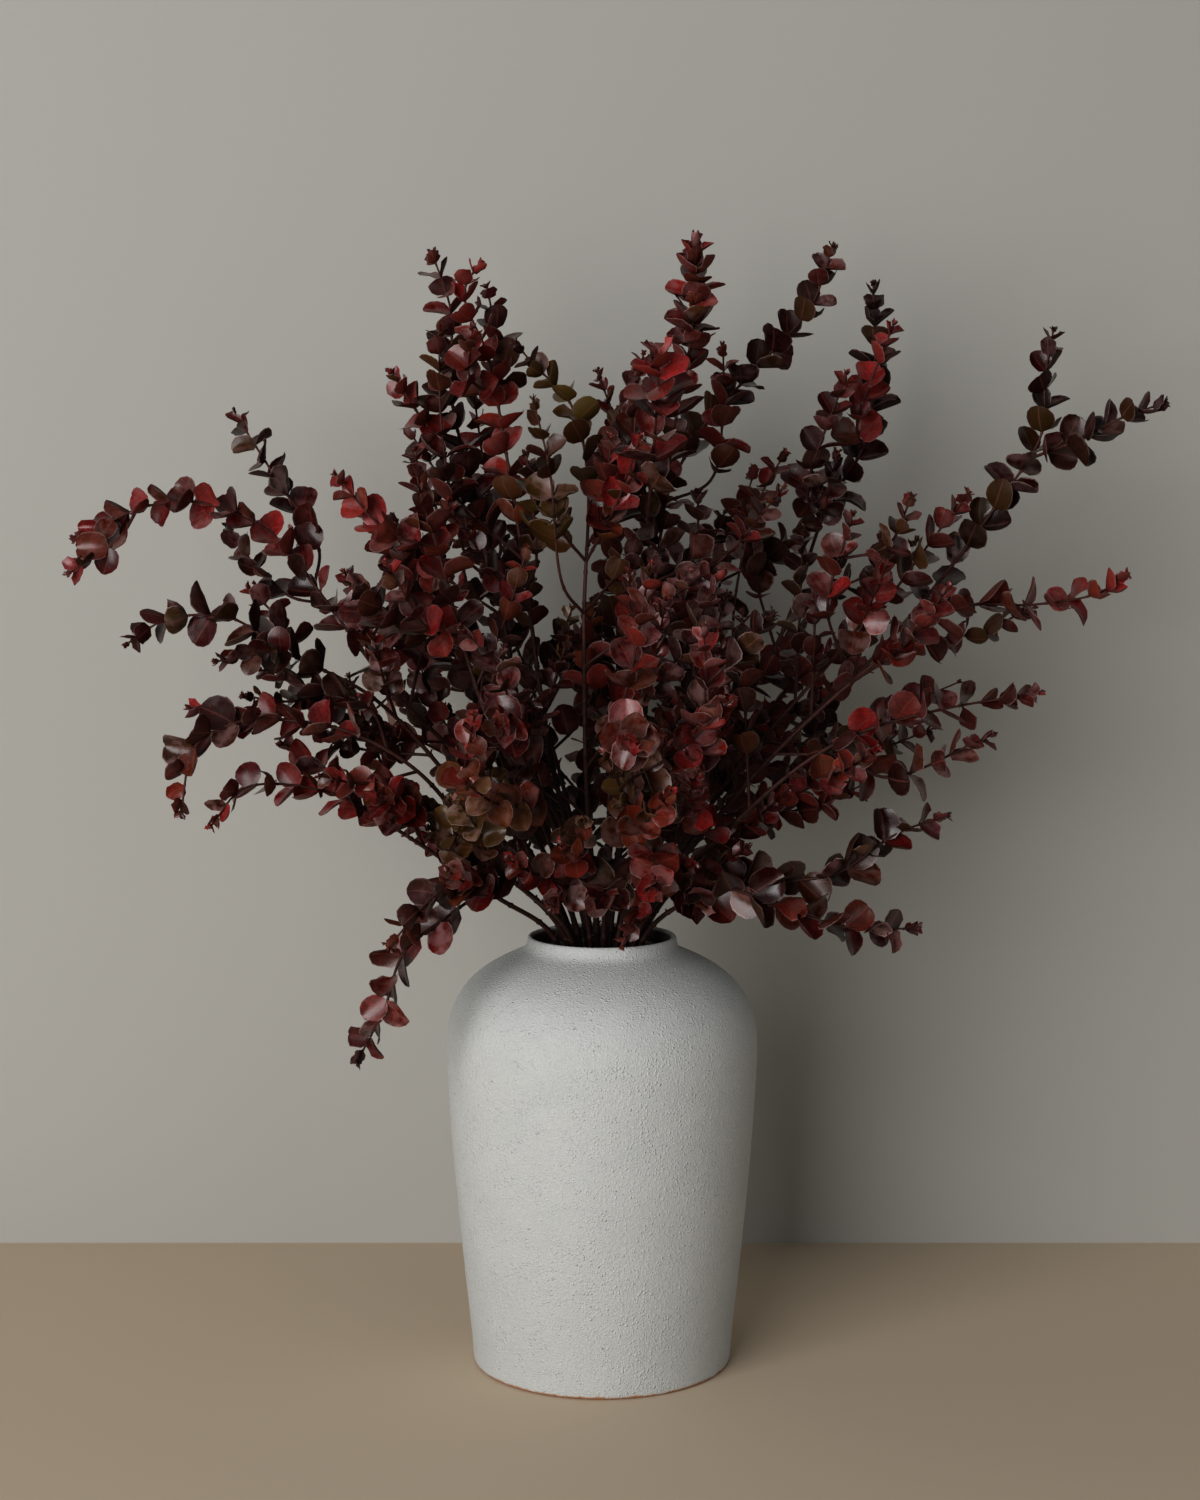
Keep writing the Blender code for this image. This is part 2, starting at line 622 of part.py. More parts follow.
def swept_tubes(bunch, guides):
    """The bare solid of each twig that is kept, with the path that it follows."""
    three = section(3, guides)
    tubes = {}
    for name, twigs in bunch.items():
        for number, twig in enumerate(kept_twigs(twigs)):
            axis = twig["kind"] == "axis"
            path = thinned(twig["route"], STRAIGHTENED_BY)
            if not axis:
                path[0] = on_path(tubes[name, twig["held_by"]][1], path[0])
            thick = STEM_RADIUS if axis else TWIG_RADIUS
            radii = []
            for place in path:
                share = nearest_index(twig["route"], place) / (len(twig["route"]) - 1)
                radii.append(TIP_RADIUS + (thick - TIP_RADIUS) * (1 - share ** 1.4))
            made = tube(f"{name}_{number}", path, radii, three, guides)
            tubes[name, number] = (made, path, twig)
    return tubes


def free_leaves(tubes):
    """The kept leaves that cross neither another twig nor another leaf, as meshes by stem."""
    solids = []
    for owner, (made, path, twig) in tubes.items():
        corners = [v.co for v in made.data.vertices]
        tree = BVHTree.FromPolygons(corners, [p.vertices for p in made.data.polygons])
        solids.append((owner, extent(corners), tree))
    free = {}
    for owner, (made, path, twig) in tubes.items():
        for leaf in twig["leaves"]:
            if leaf["pair"] not in PAIRS_KEPT[twig["kind"]]:
                continue
            root = on_path(path, leaf["root"])
            probe = blade(leaf, root, BLADE_THICKNESS + 2 * LEAF_CLEARANCE, 2 * LEAF_CLEARANCE)
            box = extent([v.co for v in probe.verts])
            tree = BVHTree.FromBMesh(probe)
            probe.free()
            if any(other != owner and not apart(box, other_box) and tree.overlap(other_tree)
                   for other, other_box, other_tree in solids):
                continue
            shape = blade(leaf, root, BLADE_THICKNESS)
            mesh = bpy.data.meshes.new("leaf")
            shape.to_mesh(mesh)
            shape.free()
            free.setdefault(owner[0], []).append(mesh)
            solids.append((owner, box, tree))
    return free


def build_stems(collection, guides):
    """Each stem with its twigs and leaves, joined into one solid."""
    finish = material("eucalyptus stem and leaves", (0.1, 0.03, 0.028), 0.6)
    bunch = grow()
    tubes = swept_tubes(bunch, guides)
    leaves = free_leaves(tubes)
    for name in bunch:
        joined = bpy.data.collections.new(name + "_repeats")
        bpy.context.scene.collection.children.link(joined)
        for (owner, number), (made, path, twig) in tubes.items():
            if owner == name and number > 0:
                guides.objects.unlink(made)
                joined.objects.link(made)
        for mesh in leaves[name]:
            new_object("leaf", mesh, joined)
        stem = tubes[name, 0][0]
        stem.name = name
        guides.objects.unlink(stem)
        collection.objects.link(stem)
        union = stem.modifiers.new("joined", "BOOLEAN")
        union.operation = "UNION"
        union.operand_type = "COLLECTION"
        union.collection = joined
        union.solver = "MANIFOLD"
        bpy.context.view_layer.update()
        mesh = bpy.data.meshes.new_from_object(stem.evaluated_get(bpy.context.evaluated_depsgraph_get()))
        stem.modifiers.clear()
        stem.data = mesh
        mesh.name = name
        mesh.materials.clear()
        mesh.materials.append(finish)
        for piece in list(joined.objects):
            bpy.data.objects.remove(piece)
        bpy.data.collections.remove(joined)


def main():
    for old in list(bpy.data.objects):
        bpy.data.objects.remove(old)
    collection = bpy.data.collections.new("eucalyptus stems in vase")
    guides = bpy.data.collections.new("guides")
    for made in (collection, guides):
        bpy.context.scene.collection.children.link(made)
    vase(collection)
    build_stems(collection, guides)


if __name__ == "__main__":
    main()
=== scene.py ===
import math
import random

import bmesh
import bpy
import numpy as np
from mathutils import Matrix, Vector


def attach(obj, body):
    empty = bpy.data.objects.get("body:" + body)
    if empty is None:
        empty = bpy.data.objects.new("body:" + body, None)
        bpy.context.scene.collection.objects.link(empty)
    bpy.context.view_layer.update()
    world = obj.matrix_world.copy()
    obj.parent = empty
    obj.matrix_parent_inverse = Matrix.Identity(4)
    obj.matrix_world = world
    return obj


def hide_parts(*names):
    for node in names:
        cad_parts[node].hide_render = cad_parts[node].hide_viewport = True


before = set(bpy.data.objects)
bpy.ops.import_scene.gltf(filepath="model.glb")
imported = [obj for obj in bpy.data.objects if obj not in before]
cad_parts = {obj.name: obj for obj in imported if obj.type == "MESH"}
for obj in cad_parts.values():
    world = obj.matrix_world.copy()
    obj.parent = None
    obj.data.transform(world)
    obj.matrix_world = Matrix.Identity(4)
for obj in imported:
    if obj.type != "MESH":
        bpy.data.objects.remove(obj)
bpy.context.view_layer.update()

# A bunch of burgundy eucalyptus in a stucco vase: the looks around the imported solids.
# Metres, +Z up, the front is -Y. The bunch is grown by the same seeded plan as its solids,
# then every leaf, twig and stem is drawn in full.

MM = 0.001
ANY_TURN = (0, 6.28)

VASE_HEIGHT = 300 * MM

# The stems in the vase's neck and on its floor.
INSIDE_FLOOR_HEIGHT = 8 * MM
NECK_HEIGHT = 296 * MM
NECK_REACH = 40 * MM
NECK_GAP = 7.4 * MM
NECK_ROUNDS = 300
LEAN_BASE = 20 * MM
FLATTEST_LEAN = math.radians(62)
FLOOR_SPREAD = 1.15
FLOOR_GAP = 0.3 * MM
STEM_RADIUS = 2.7 * MM
TWIG_RADIUS = 1.15 * MM
TIP_RADIUS = 0.6 * MM

# Leaves stand in opposite pairs, each pair turned a quarter from the last.
TIP_LEAF = 6.5 * MM
FULL_LEAF = 25 * MM
ROSETTE_LEAF = 18 * MM
LEAF_GROWTH = 0.35
PAIR_GAP_AT_TIP = 3.2 * MM
PAIR_GAP_PER_LEAF = 0.56
ROSETTE_CROWDING = 0.42
SIDE_VIGOUR = 0.86
VIGOUR = (0.84, 1.08)
YOUNG_OPENING = 38
GROWN_OPENING = 53
OPENING_GROWTH = 1.15
ROSETTE_OPENINGS = (24, 38, 52, 62, 70, 76)
OPENING_SPREAD = 0.22
TURN_SPREAD = 0.14
LENGTH_SPREAD = (0.9, 1.08)
FIRST_PAIR_FROM_TIP = 0.8 * MM

# The leaves turn their faces to the window: some twigs hardly, the arching ones a lot.
WINDOW_WAY = (-0.45, -0.8, 0.4)
FACING = (0.0, 0.4)
ARCH_FACING = {"stem_left_arch": 0.7, "stem_low_left": 0.6, "stem_left_low": 0.5, "stem_right_low": 0.5}

# Routes in millimetres, from just above the vase's mouth to the tip. The first
# of each stem is its main axis. The number before a route is the length of it
# that carries leaves, and FULL marks a tip that is a dense head of large leaves.
FULL = "full"
STEMS = {
    "stem_left_arch": [
        (255, [(-85, -8, 410), (-140, -25, 470), (-185, -20, 530), (-225, -25, 580), (-265, -35, 598),
               (-300, -40, 597), (-350, -45, 575)]),
        (60, [(-320, -50, 575), (-350, -62, 553)]),
        (85, [(-146, -44, 500), (-170, -56, 552)]),
        (75, [(-215, 5, 535), (-242, 20, 558), (-260, 30, 582)]),
        (125, [(-195, 10, 570), (-225, 25, 615), (-255, 40, 660)]),
    ],
    "stem_left_mid": [
        (150, [(-95, -45, 405), (-150, -70, 470), (-205, -75, 500), (-245, -85, 525), (-285, -90, 522),
               (-307, -95, 508)]),
        (60, [(-212, -55, 518), (-235, -42, 542)]),
        (65, [(-215, -105, 503), (-245, -122, 498)]),
    ],
    "stem_left_low": [
        (120, [(-75, -75, 365), (-118, -108, 425), (-160, -120, 452), (-200, -120, 460), (-240, -120, 462),
               (-262, -124, 468)]),
        (110, [(-225, -140, 462), (-255, -150, 447), (-265, -152, 405)]),
        (80, [(-150, -100, 465), (-190, -92, 478), (-222, -88, 490)]),
    ],
    "stem_low_left": [
        (130, [(-72, -52, 336), (-130, -85, 382), (-168, -100, 408), (-210, -110, 418), (-232, -118, 415),
               (-250, -125, 393)]),
        (155, [(-100, -80, 328), (-130, -98, 305), (-142, -103, 270), (-160, -103, 235)]),
        (70, [(-125, -120, 400), (-138, -150, 412)], FULL),
        (60, [(-178, -92, 424), (-208, -92, 442)]),
    ],
    "stem_pink_low": [
        (115, [(-52, -85, 345), (-80, -112, 365), (-108, -130, 348), (-135, -138, 318)]),
        (60, [(-78, -140, 390), (-88, -165, 412)]),
    ],
    "stem_top_left": [
        (215, [(-52, 22, 430), (-76, 30, 560), (-104, 32, 670), (-104, 28, 730), (-116, 22, 768)]),
        (90, [(-118, 8, 650), (-142, -8, 686)]),
        (80, [(-108, 50, 575), (-120, 50, 605), (-134, 48, 632)]),
        (120, [(-92, 8, 560), (-108, -4, 640), (-110, -6, 715)]),
        (100, [(-72, 52, 560), (-84, 62, 630), (-92, 62, 690)]),
    ],
    "stem_top_left_inner": [
        (190, [(-36, -6, 430), (-55, -12, 570), (-66, -15, 640), (-76, -18, 695), (-92, -22, 738),
               (-82, -22, 757)]),
        (80, [(-88, -38, 682), (-85, -52, 712)]),
        (80, [(-44, -30, 560), (-50, -46, 630)]),
        (85, [(-68, 4, 690), (-78, 8, 744)]),
    ],
    "stem_left_front": [
        (150, [(-58, -50, 405), (-88, -72, 495), (-106, -80, 565), (-119, -86, 612), (-120, -88, 632)]),
        (95, [(-138, -95, 580), (-170, -106, 616)]),
        (80, [(-112, -120, 520), (-135, -140, 560)]),
        (60, [(-122, -88, 515), (-155, -95, 543)], FULL),
    ],
    "stem_olive_arch": [
        (110, [(-10, -32, 400), (-12, -42, 520), (-10, -38, 622), (-22, -38, 666), (-44, -45, 688),
               (-56, -50, 702)]),
        (60, [(-26, -62, 580), (-32, -72, 606)]),
        (120, [(-26, -66, 545), (-34, -84, 620), (-44, -92, 664)]),
        (70, [(0, -62, 590), (6, -72, 640)]),
    ],
    "stem_top": [
        (235, [(24, 4, 435), (38, -4, 560), (50, -10, 655), (60, -15, 705), (62, -20, 766)], FULL),
        (34, [(60, -20, 712), (62, -24, 735)], FULL),
        (95, [(76, 22, 615), (84, 34, 665), (84, 38, 706)]),
        (110, [(24, -40, 600), (22, -42, 682)]),
        (105, [(30, -62, 590), (34, -100, 644), (36, -130, 688)], FULL),
        (70, [(62, 4, 560), (66, 2, 605)]),
    ],
    "stem_long_arch": [
        (190, [(26, 32, 450), (40, 50, 585), (70, 56, 650), (110, 56, 694), (146, 52, 735), (160, 48, 775)]),
        (120, [(30, 82, 600), (22, 105, 660), (30, 112, 705)]),
    ],
    "stem_right_high": [
        (190, [(66, 48, 410), (126, 70, 500), (160, 72, 595), (186, 70, 640), (192, 65, 695),
               (190, 60, 750)]),
        (90, [(178, 42, 655), (200, 22, 720)]),
        (110, [(143, 30, 610), (166, 2, 685)]),
        (75, [(92, 36, 505), (97, 22, 560), (110, 14, 605), (125, 6, 632)]),
    ],
    "stem_right_tall": [
        (215, [(92, 20, 400), (180, 34, 480), (240, 32, 550), (276, 30, 600), (304, 30, 645), (306, 30, 685),
               (311, 30, 716)]),
        (110, [(322, 5, 640), (350, -10, 655), (377, -20, 665)]),
    ],
    "stem_right_inner": [
        (115, [(76, -16, 395), (140, -26, 475), (190, -35, 532), (214, -42, 566), (242, -50, 604)]),
        (80, [(150, -48, 530), (165, -58, 590)]),
        (75, [(188, -60, 570), (202, -72, 602)]),
    ],
    "stem_right_arch": [
        (170, [(84, -42, 395), (170, -66, 485), (235, -70, 530), (282, -74, 532), (325, -78, 540),
               (341, -82, 552)]),
    ],
    "stem_right_mid": [
        (150, [(84, -78, 385), (150, -104, 443), (215, -106, 465), (282, -104, 476)]),
        (95, [(180, -126, 424), (246, -138, 452)]),
    ],
    "stem_right_low": [
        (178, [(62, -62, 336), (106, -88, 350), (152, -100, 358), (190, -108, 385), (222, -108, 397)]),
        (150, [(88, -98, 347), (118, -112, 337), (160, -122, 326), (202, -124, 326)]),
    ],
    "stem_front_right": [
        (110, [(34, -78, 380), (60, -110, 435), (66, -128, 490), (64, -140, 520)]),
        (90, [(82, -132, 500), (108, -130, 528)]),
        (55, [(34, -120, 372), (33, -150, 358)], FULL),
        (40, [(24, -58, 328), (19, -66, 316), (14, -69, 305)]),
        (50, [(48, -66, 345), (62, -84, 336)], FULL),
    ],
    "stem_front": [
        (110, [(4, -74, 380), (8, -110, 445), (20, -132, 500), (30, -142, 560)]),
        (70, [(14, -140, 452), (18, -172, 452)], FULL),
        (50, [(4, -88, 350), (2, -112, 346)], FULL),
    ],
    "stem_front_left": [
        (120, [(-26, -80, 385), (-52, -118, 440), (-66, -138, 495), (-88, -150, 520)]),
        (70, [(-58, -150, 455), (-62, -178, 462)], FULL),
        (45, [(-24, -84, 345), (-32, -104, 338)]),
    ],
}

# The back of the bunch: stems fanned by rule from the right round to the left,
# flat and steep by turns, with their reach in millimetres.
BACK_STEMS = 8
BACK_AZIMUTHS = (28, 152)
BACK_TILTS = (62, 34)
BACK_REACH = (250, 310)
BACK_TILT_SPREAD = 6
BACK_REACH_SPREAD = 20
BACK_BEND = 0.12
BACK_DEPTH = 0.86
BACK_TWIGS = 3
BACK_ROOT_HEIGHT = 305
BACK_AXIS_PLACES = (120, 210, 290)
BACK_TIP_BEYOND = 40
BACK_LEAFY = 170
BACK_TWIG_SPACING = 62
BACK_TWIG_TURNS = (38, 55)
BACK_TWIG_RISE = (45, 85)
BACK_TWIG_LENGTHS = (78, 105)
BACK_TWIG_MIDDLE = (0.5, 0.6)

# Side twigs along the bare part of each axis.
SIDE_FROM_HEIGHT = 350 * MM
SIDE_SPACING = 35 * MM
SIDE_LENGTHS = (78, 128)
TURN = math.radians(137.5)
SIDE_TRIES = 7
SIDE_START = (0.3, 0.9, 0.1)
SIDE_ANGLES = (44, 58)
SIDE_MIDDLE = (0.55, 0.04)
SIDE_END = (0.95, 0.2)
SIDE_BARE = 16 * MM
CLEAR_OF_OTHERS = 7.8 * MM
CLEAR_OF_OWN = 5.2 * MM
CLEAR_REACH = 1.3
CLEAR_FROM_POINT = 4

# Routes have a point every STEP. A twig with a given route starts a few steps before the
# place on its carrier that is nearest, and nothing starts at a route's very ends.
STEP = 5 * MM
CURVE_POINTS = 10
STEPS_BACK = 4
END_STEPS = 2
LEAFLESS_STEPS = 1.5

# Gaps in the bunch that are open when it is seen from the front, from EYE: the X, Z and
# reach of each in millimetres, where the line of sight crosses the plane Y = 0.
EYE = (0, -1713, 600)
GAPS = [(-177, 324, 24), (-170, 665, 23), (107, 644, 16), (89, 614, 9), (137, 361, 17), (172, 325, 11),
        (241, 479, 12), (234, 610, 10), (-26, 560, 12), (-21, 570, 8), (-23, 622, 10), (-36, 660, 5),
        (-20, 455, 6), (-21, 436, 6), (-21, 415, 6), (225, 551, 8), (-128, 350, 6), (-186, 580, 10),
        (-145, 608, 9), (178, 378, 8), (-281, 402, 9), (262, 560, 14)]
GAP_MARGIN = 7

# Seeds of the random draws.
BACK_SEED = 11
TWIG_SEED = 100
LEAF_SEED = 500
LOOKS_SEED = 900
WOOD_SEED = 1300

# The vase as it is drawn: rings of radius and height in millimetres, from under the
# foot, up the outside, over the lip and down the inside.
VASE_COLUMNS = 40
FOOT_INSET = 14
FOOT_RINGS = [(88.2, 0.0), (90.2, 0.7), (90.8, 4.0)]
BODY_RINGS = [(91.3, 14), (92.9, 30), (94.6, 46), (96.3, 62), (97.9, 78), (99.5, 94), (101.1, 110),
              (102.5, 126), (103.9, 142), (105.1, 158), (106.2, 174), (107.2, 190), (108.0, 205),
              (108.5, 218), (108.5, 229), (107.2, 239.5), (104.4, 249.5), (99.9, 259), (93.0, 268.2),
              (83.5, 276), (72.5, 282.6)]
NECK_RINGS = [(62.0, 287.2), (55.4, 290.2), (52.9, 292.8), (52.1, 295.6), (52.1, 298.4), (51.0, 300.4),
              (48.6, 299.8), (46.9, 296)]
INSIDE_RINGS = [(46.5, 289), (56, 282), (82, 266), (101, 240), (98, 150), (84, 16), (76, 8)]
ROUNDING = 3

# The view, with the table that ends at the wall behind.
CAMERA_PLACE = (-0.0013, -1.713, 0.600)
CAMERA_PITCH = 5.7
CAMERA_LENS = 60
CAMERA_SENSOR = 36
TABLE_SIZE = 2
WALL_SIZE = 6
WALL_MIDDLE = 1
WALL_PLACE = 0.268
TABLE_COLOUR = "#d0bfa9"
WALL_COLOUR = "#a9a7a1"
ROOM_COLOUR = "#d2d6da"
ROOM_STRENGTH = 0.17

# The leaf as it is modelled, 1 m long: stations from the stalk to the tip, with half
# the blade's width at each, for a young narrow leaf and for a grown round one.
LEAF_COLUMNS = 4
STATIONS = (0.0, 0.045, 0.13, 0.3, 0.51, 0.72, 0.89, 1.0)
YOUNG_HALF_WIDTHS = (0.035, 0.04, 0.17, 0.28, 0.32, 0.28, 0.17, 0.03)
GROWN_HALF_WIDTHS = (0.03, 0.06, 0.32, 0.455, 0.49, 0.455, 0.325, 0.1)
SKIN_HEIGHT = 0.5
SET_ASIDE = 10
SAME_ROW = 0.01
SAME_CORNER = 0.0005

# The blade as it is bent: flat at its stalk and open a little further on, its edges folded
# up, cupped and waved. A leaf has its grown outline before it has its full size.
LEAF_THICKNESS = 0.5 * MM
YOUNG_THICKNESS = 0.6
OUTLINE_GROWTH = 1.4
STALK_END = 0.05
STALK_FADE = 0.2
FOLD_ROUNDING = 0.6
CUP_ALONG = 0.45
WAVE_ALONG = 7.5
WAVE_ACROSS = 1.8
LEAST_BEND = 0.01
LEAST_WIDTH = 0.001
SMOOTH_ANGLE = 75

# The four small leaves at each tip, two and two: how far they open, in degrees, and how
# long they are, in millimetres.
BUD_OPENINGS = (16, 34)
BUD_LEAVES = (3.8, 4.9)
BUD_SPREAD = (0.85, 1.15)
BUD_INSET = 0.4 * MM

# How leaves differ: a mean and its spread, or two limits for the widths. Folds, bends,
# twists and rolls are in degrees.
TWIG_TONES = (0.42, 0.17)
TONE_SPREAD = 0.14
YOUNG_TONE = 0.1
LEAF_WIDTHS = (0.86, 1.1)
LEAF_FOLDS = (9, 7)
LEAF_CUPS = (0.3, 0.18)
LEAF_BENDS = (3, 22)
LEAF_TWISTS = (0, 9)
LEAF_ROLLS = (0, 20)
LEAF_WAVES = (0, 0.09)
LEAF_BLOOMS = (0.08, 0.27)
LEAF_OLIVES = (0.0, 0.2)

# Places in the front of the bunch, as X and Z in millimetres, where the leaves are of
# another colour, and how much of it they take.
RED_PLACES = [(-111, 562), (-131, 436), (171, 686), (149, 667), (-146, 588), (-227, 554), (330, 546),
              (56, 733), (34, 688), (-140, 280), (-118, 322)]
PINK_PLACES = [(50, 517), (15, 442), (63, 543), (54, 472)]
OLIVE_PLACES = [(-21, 539), (-20, 661), (-79, 397), (8, 416), (-30, 585)]
PLACE_REACH = 42 * MM
FRONT_END = 60 * MM
RED_TONE = 0.4
PINK_BLOOM = 0.5
OLIVE_SHARE = 1.3

# The wood: it tapers to each tip, swells at the nodes, and the axes have stubs of lost
# twigs, whose radii are shares of the wood's own.
WOOD_TAPER = 1.4
NODE_REACH = 1.6 * MM
AXIS_SWELL = 0.34
TWIG_SWELL = 0.28
LEAST_SPACING = 0.5 * MM
FIRST_BARE_NODE = 12 * MM
BARE_NODE_SPACING = 21 * MM
BARE_NODE_SPREAD = (0.6, 1.4)
STUBLESS = 0.35
STUB_LEANS = (0.3, 1.1)
STUB_LENGTHS = (1.6, 5.2)
STUB_COLLAR = 0.9
STUB_RADII = (0.6, 0.5, 0.34)
LOOK_AHEAD = 2 * MM


def on_curve(p0, p1, p2, p3, share):
    """A point between p1 and p2 on the centripetal curve through all four."""
    k0 = 0
    k1 = k0 + (p1 - p0).length ** 0.5
    k2 = k1 + (p2 - p1).length ** 0.5
    k3 = k2 + (p3 - p2).length ** 0.5
    t = k1 + (k2 - k1) * share
    a = p0.lerp(p1, (t - k0) / (k1 - k0))
    b = p1.lerp(p2, (t - k1) / (k2 - k1))
    c = p2.lerp(p3, (t - k2) / (k3 - k2))
    d = a.lerp(b, (t - k0) / (k2 - k0))
    e = b.lerp(c, (t - k1) / (k3 - k1))
    return d.lerp(e, share)


def evenly(points, step):
    """The same path with its points one step apart."""
    lengths = [0]
    for a, b in zip(points, points[1:]):
        lengths.append(lengths[-1] + (b - a).length)
    count = max(2, round(lengths[-1] / step))
    spaced, i = [], 0
    for k in range(count + 1):
        wanted = lengths[-1] * k / count
        while i < len(points) - 2 and lengths[i + 1] < wanted:
            i += 1
        share = (wanted - lengths[i]) / max(lengths[i + 1] - lengths[i], 1e-9)
        spaced.append(points[i].lerp(points[i + 1], min(1, share)))
    return spaced


def smooth_route(points):
    """Points one step apart on a smooth curve through the given ones."""
    ends = [points[0] * 2 - points[1]] + points + [points[-1] * 2 - points[-2]]
    fine = []
    for four in zip(ends, ends[1:], ends[2:], ends[3:]):
        fine += [on_curve(*four, k / CURVE_POINTS) for k in range(CURVE_POINTS)]
    return evenly(fine + [points[-1]], STEP)


def turned_frames(route, side):
    """A tangent and a side direction at each point, without twist."""
    frames = []
    for i in range(len(route)):
        ahead = (route[min(i + 1, len(route) - 1)] - route[max(i - 1, 0)]).normalized()
        side = (side - ahead * side.dot(ahead)).normalized()
        frames.append((ahead, side.copy()))
    return frames


def neck_places(first_points):
    """Where each stem passes the neck: the flatter it leans, the nearer the rim."""
    places = {}
    for name, first in first_points.items():
        out = Vector((first.x, first.y))
        lean = math.atan2(out.length, first.z - NECK_HEIGHT + LEAN_BASE)
        places[name] = out.normalized() * NECK_REACH * min(1, lean / FLATTEST_LEAN)
    names = list(places)
    for _ in range(NECK_ROUNDS):
        for i, a in enumerate(names):
            for b in names[i + 1:]:
                apart = places[a] - places[b]
                short = NECK_GAP - apart.length
                if short > 0:
                    push = apart.normalized() * short * 0.5
                    places[a] += push
                    places[b] -= push
        for name, place in places.items():
            if place.length > NECK_REACH:
                places[name] = place * (NECK_REACH / place.length)
    return places


def back_stems():
    """The rear stems, as routes in the form that STEMS has."""
    draw = random.Random(BACK_SEED)
    made = {}
    first, last = BACK_AZIMUTHS
    for i in range(BACK_STEMS):
        azimuth = math.radians(first + (last - first) * i / (BACK_STEMS - 1))
        tilt = math.radians(BACK_TILTS[i % 2] + draw.uniform(-BACK_TILT_SPREAD, BACK_TILT_SPREAD))
        reach = BACK_REACH[i % 2] + draw.uniform(-BACK_REACH_SPREAD, BACK_REACH_SPREAD)
        out = Vector((math.cos(azimuth), math.sin(azimuth) * BACK_DEPTH, 0))
        across = Vector((-out.y, out.x, 0)) * draw.uniform(-BACK_BEND, BACK_BEND)

        def along(length):
            flat = out * math.sin(tilt) + across * (length / reach)
            return flat * length + Vector((0, 0, BACK_ROOT_HEIGHT + math.cos(tilt) * length))

        axis = [along(length) for length in BACK_AXIS_PLACES if length < reach]
        routes = [(BACK_LEAFY, axis + [along(reach + BACK_TIP_BEYOND)])]
        for k in range(BACK_TWIGS):
            root = along(BACK_AXIS_PLACES[0] + BACK_TWIG_SPACING * k)
            turn = math.radians(draw.uniform(*BACK_TWIG_TURNS)) * (1 if k % 2 else -1)
            aside = Matrix.Rotation(turn, 3, "Z") @ out
            rise = draw.uniform(*BACK_TWIG_RISE)
            far = draw.uniform(*BACK_TWIG_LENGTHS)
            out_share, up_share = BACK_TWIG_MIDDLE
            routes.append((far, [root + aside * far * out_share + Vector((0, 0, rise * up_share)),
                                 root + aside * far + Vector((0, 0, rise))]))
        made[f"stem_back_{i + 1}"] = routes
    return made


def nearest_index(route, point):
    return min(range(len(route)), key=lambda i: (route[i] - point).length_squared)


def least_gap(route, others):
    """The least distance from a route's points to those of the others."""
    return min((a - b).length for a in route for b in others) if others else 1.0


def in_gap(place, margin):
    """Whether a place would fill one of the gaps that are open from the front."""
    nearer = -EYE[1] / (place.y / MM - EYE[1])
    x = EYE[0] + (place.x / MM - EYE[0]) * nearer
    z = EYE[2] + (place.z / MM - EYE[2]) * nearer
    return any(math.hypot(x - gap_x, z - gap_z) < reach + margin for gap_x, gap_z, reach in GAPS)


def side_twig(carrier, at, turn, length, draw):
    """A short twig that leaves its carrier at an angle and curves upward."""
    ahead, side = turned_frames(carrier, Vector(SIDE_START))[at]
    out = Matrix.Rotation(turn, 3, ahead) @ side
    leaving = math.radians(draw.uniform(*SIDE_ANGLES))
    way = (ahead * math.cos(leaving) + out * math.sin(leaving)).normalized()
    root = carrier[at]
    up = Vector((0, 0, 1))
    middle = root + way * length * SIDE_MIDDLE[0] + up * length * SIDE_MIDDLE[1]
    return smooth_route([root, middle, root + way * length * SIDE_END[0] + up * length * SIDE_END[1]])


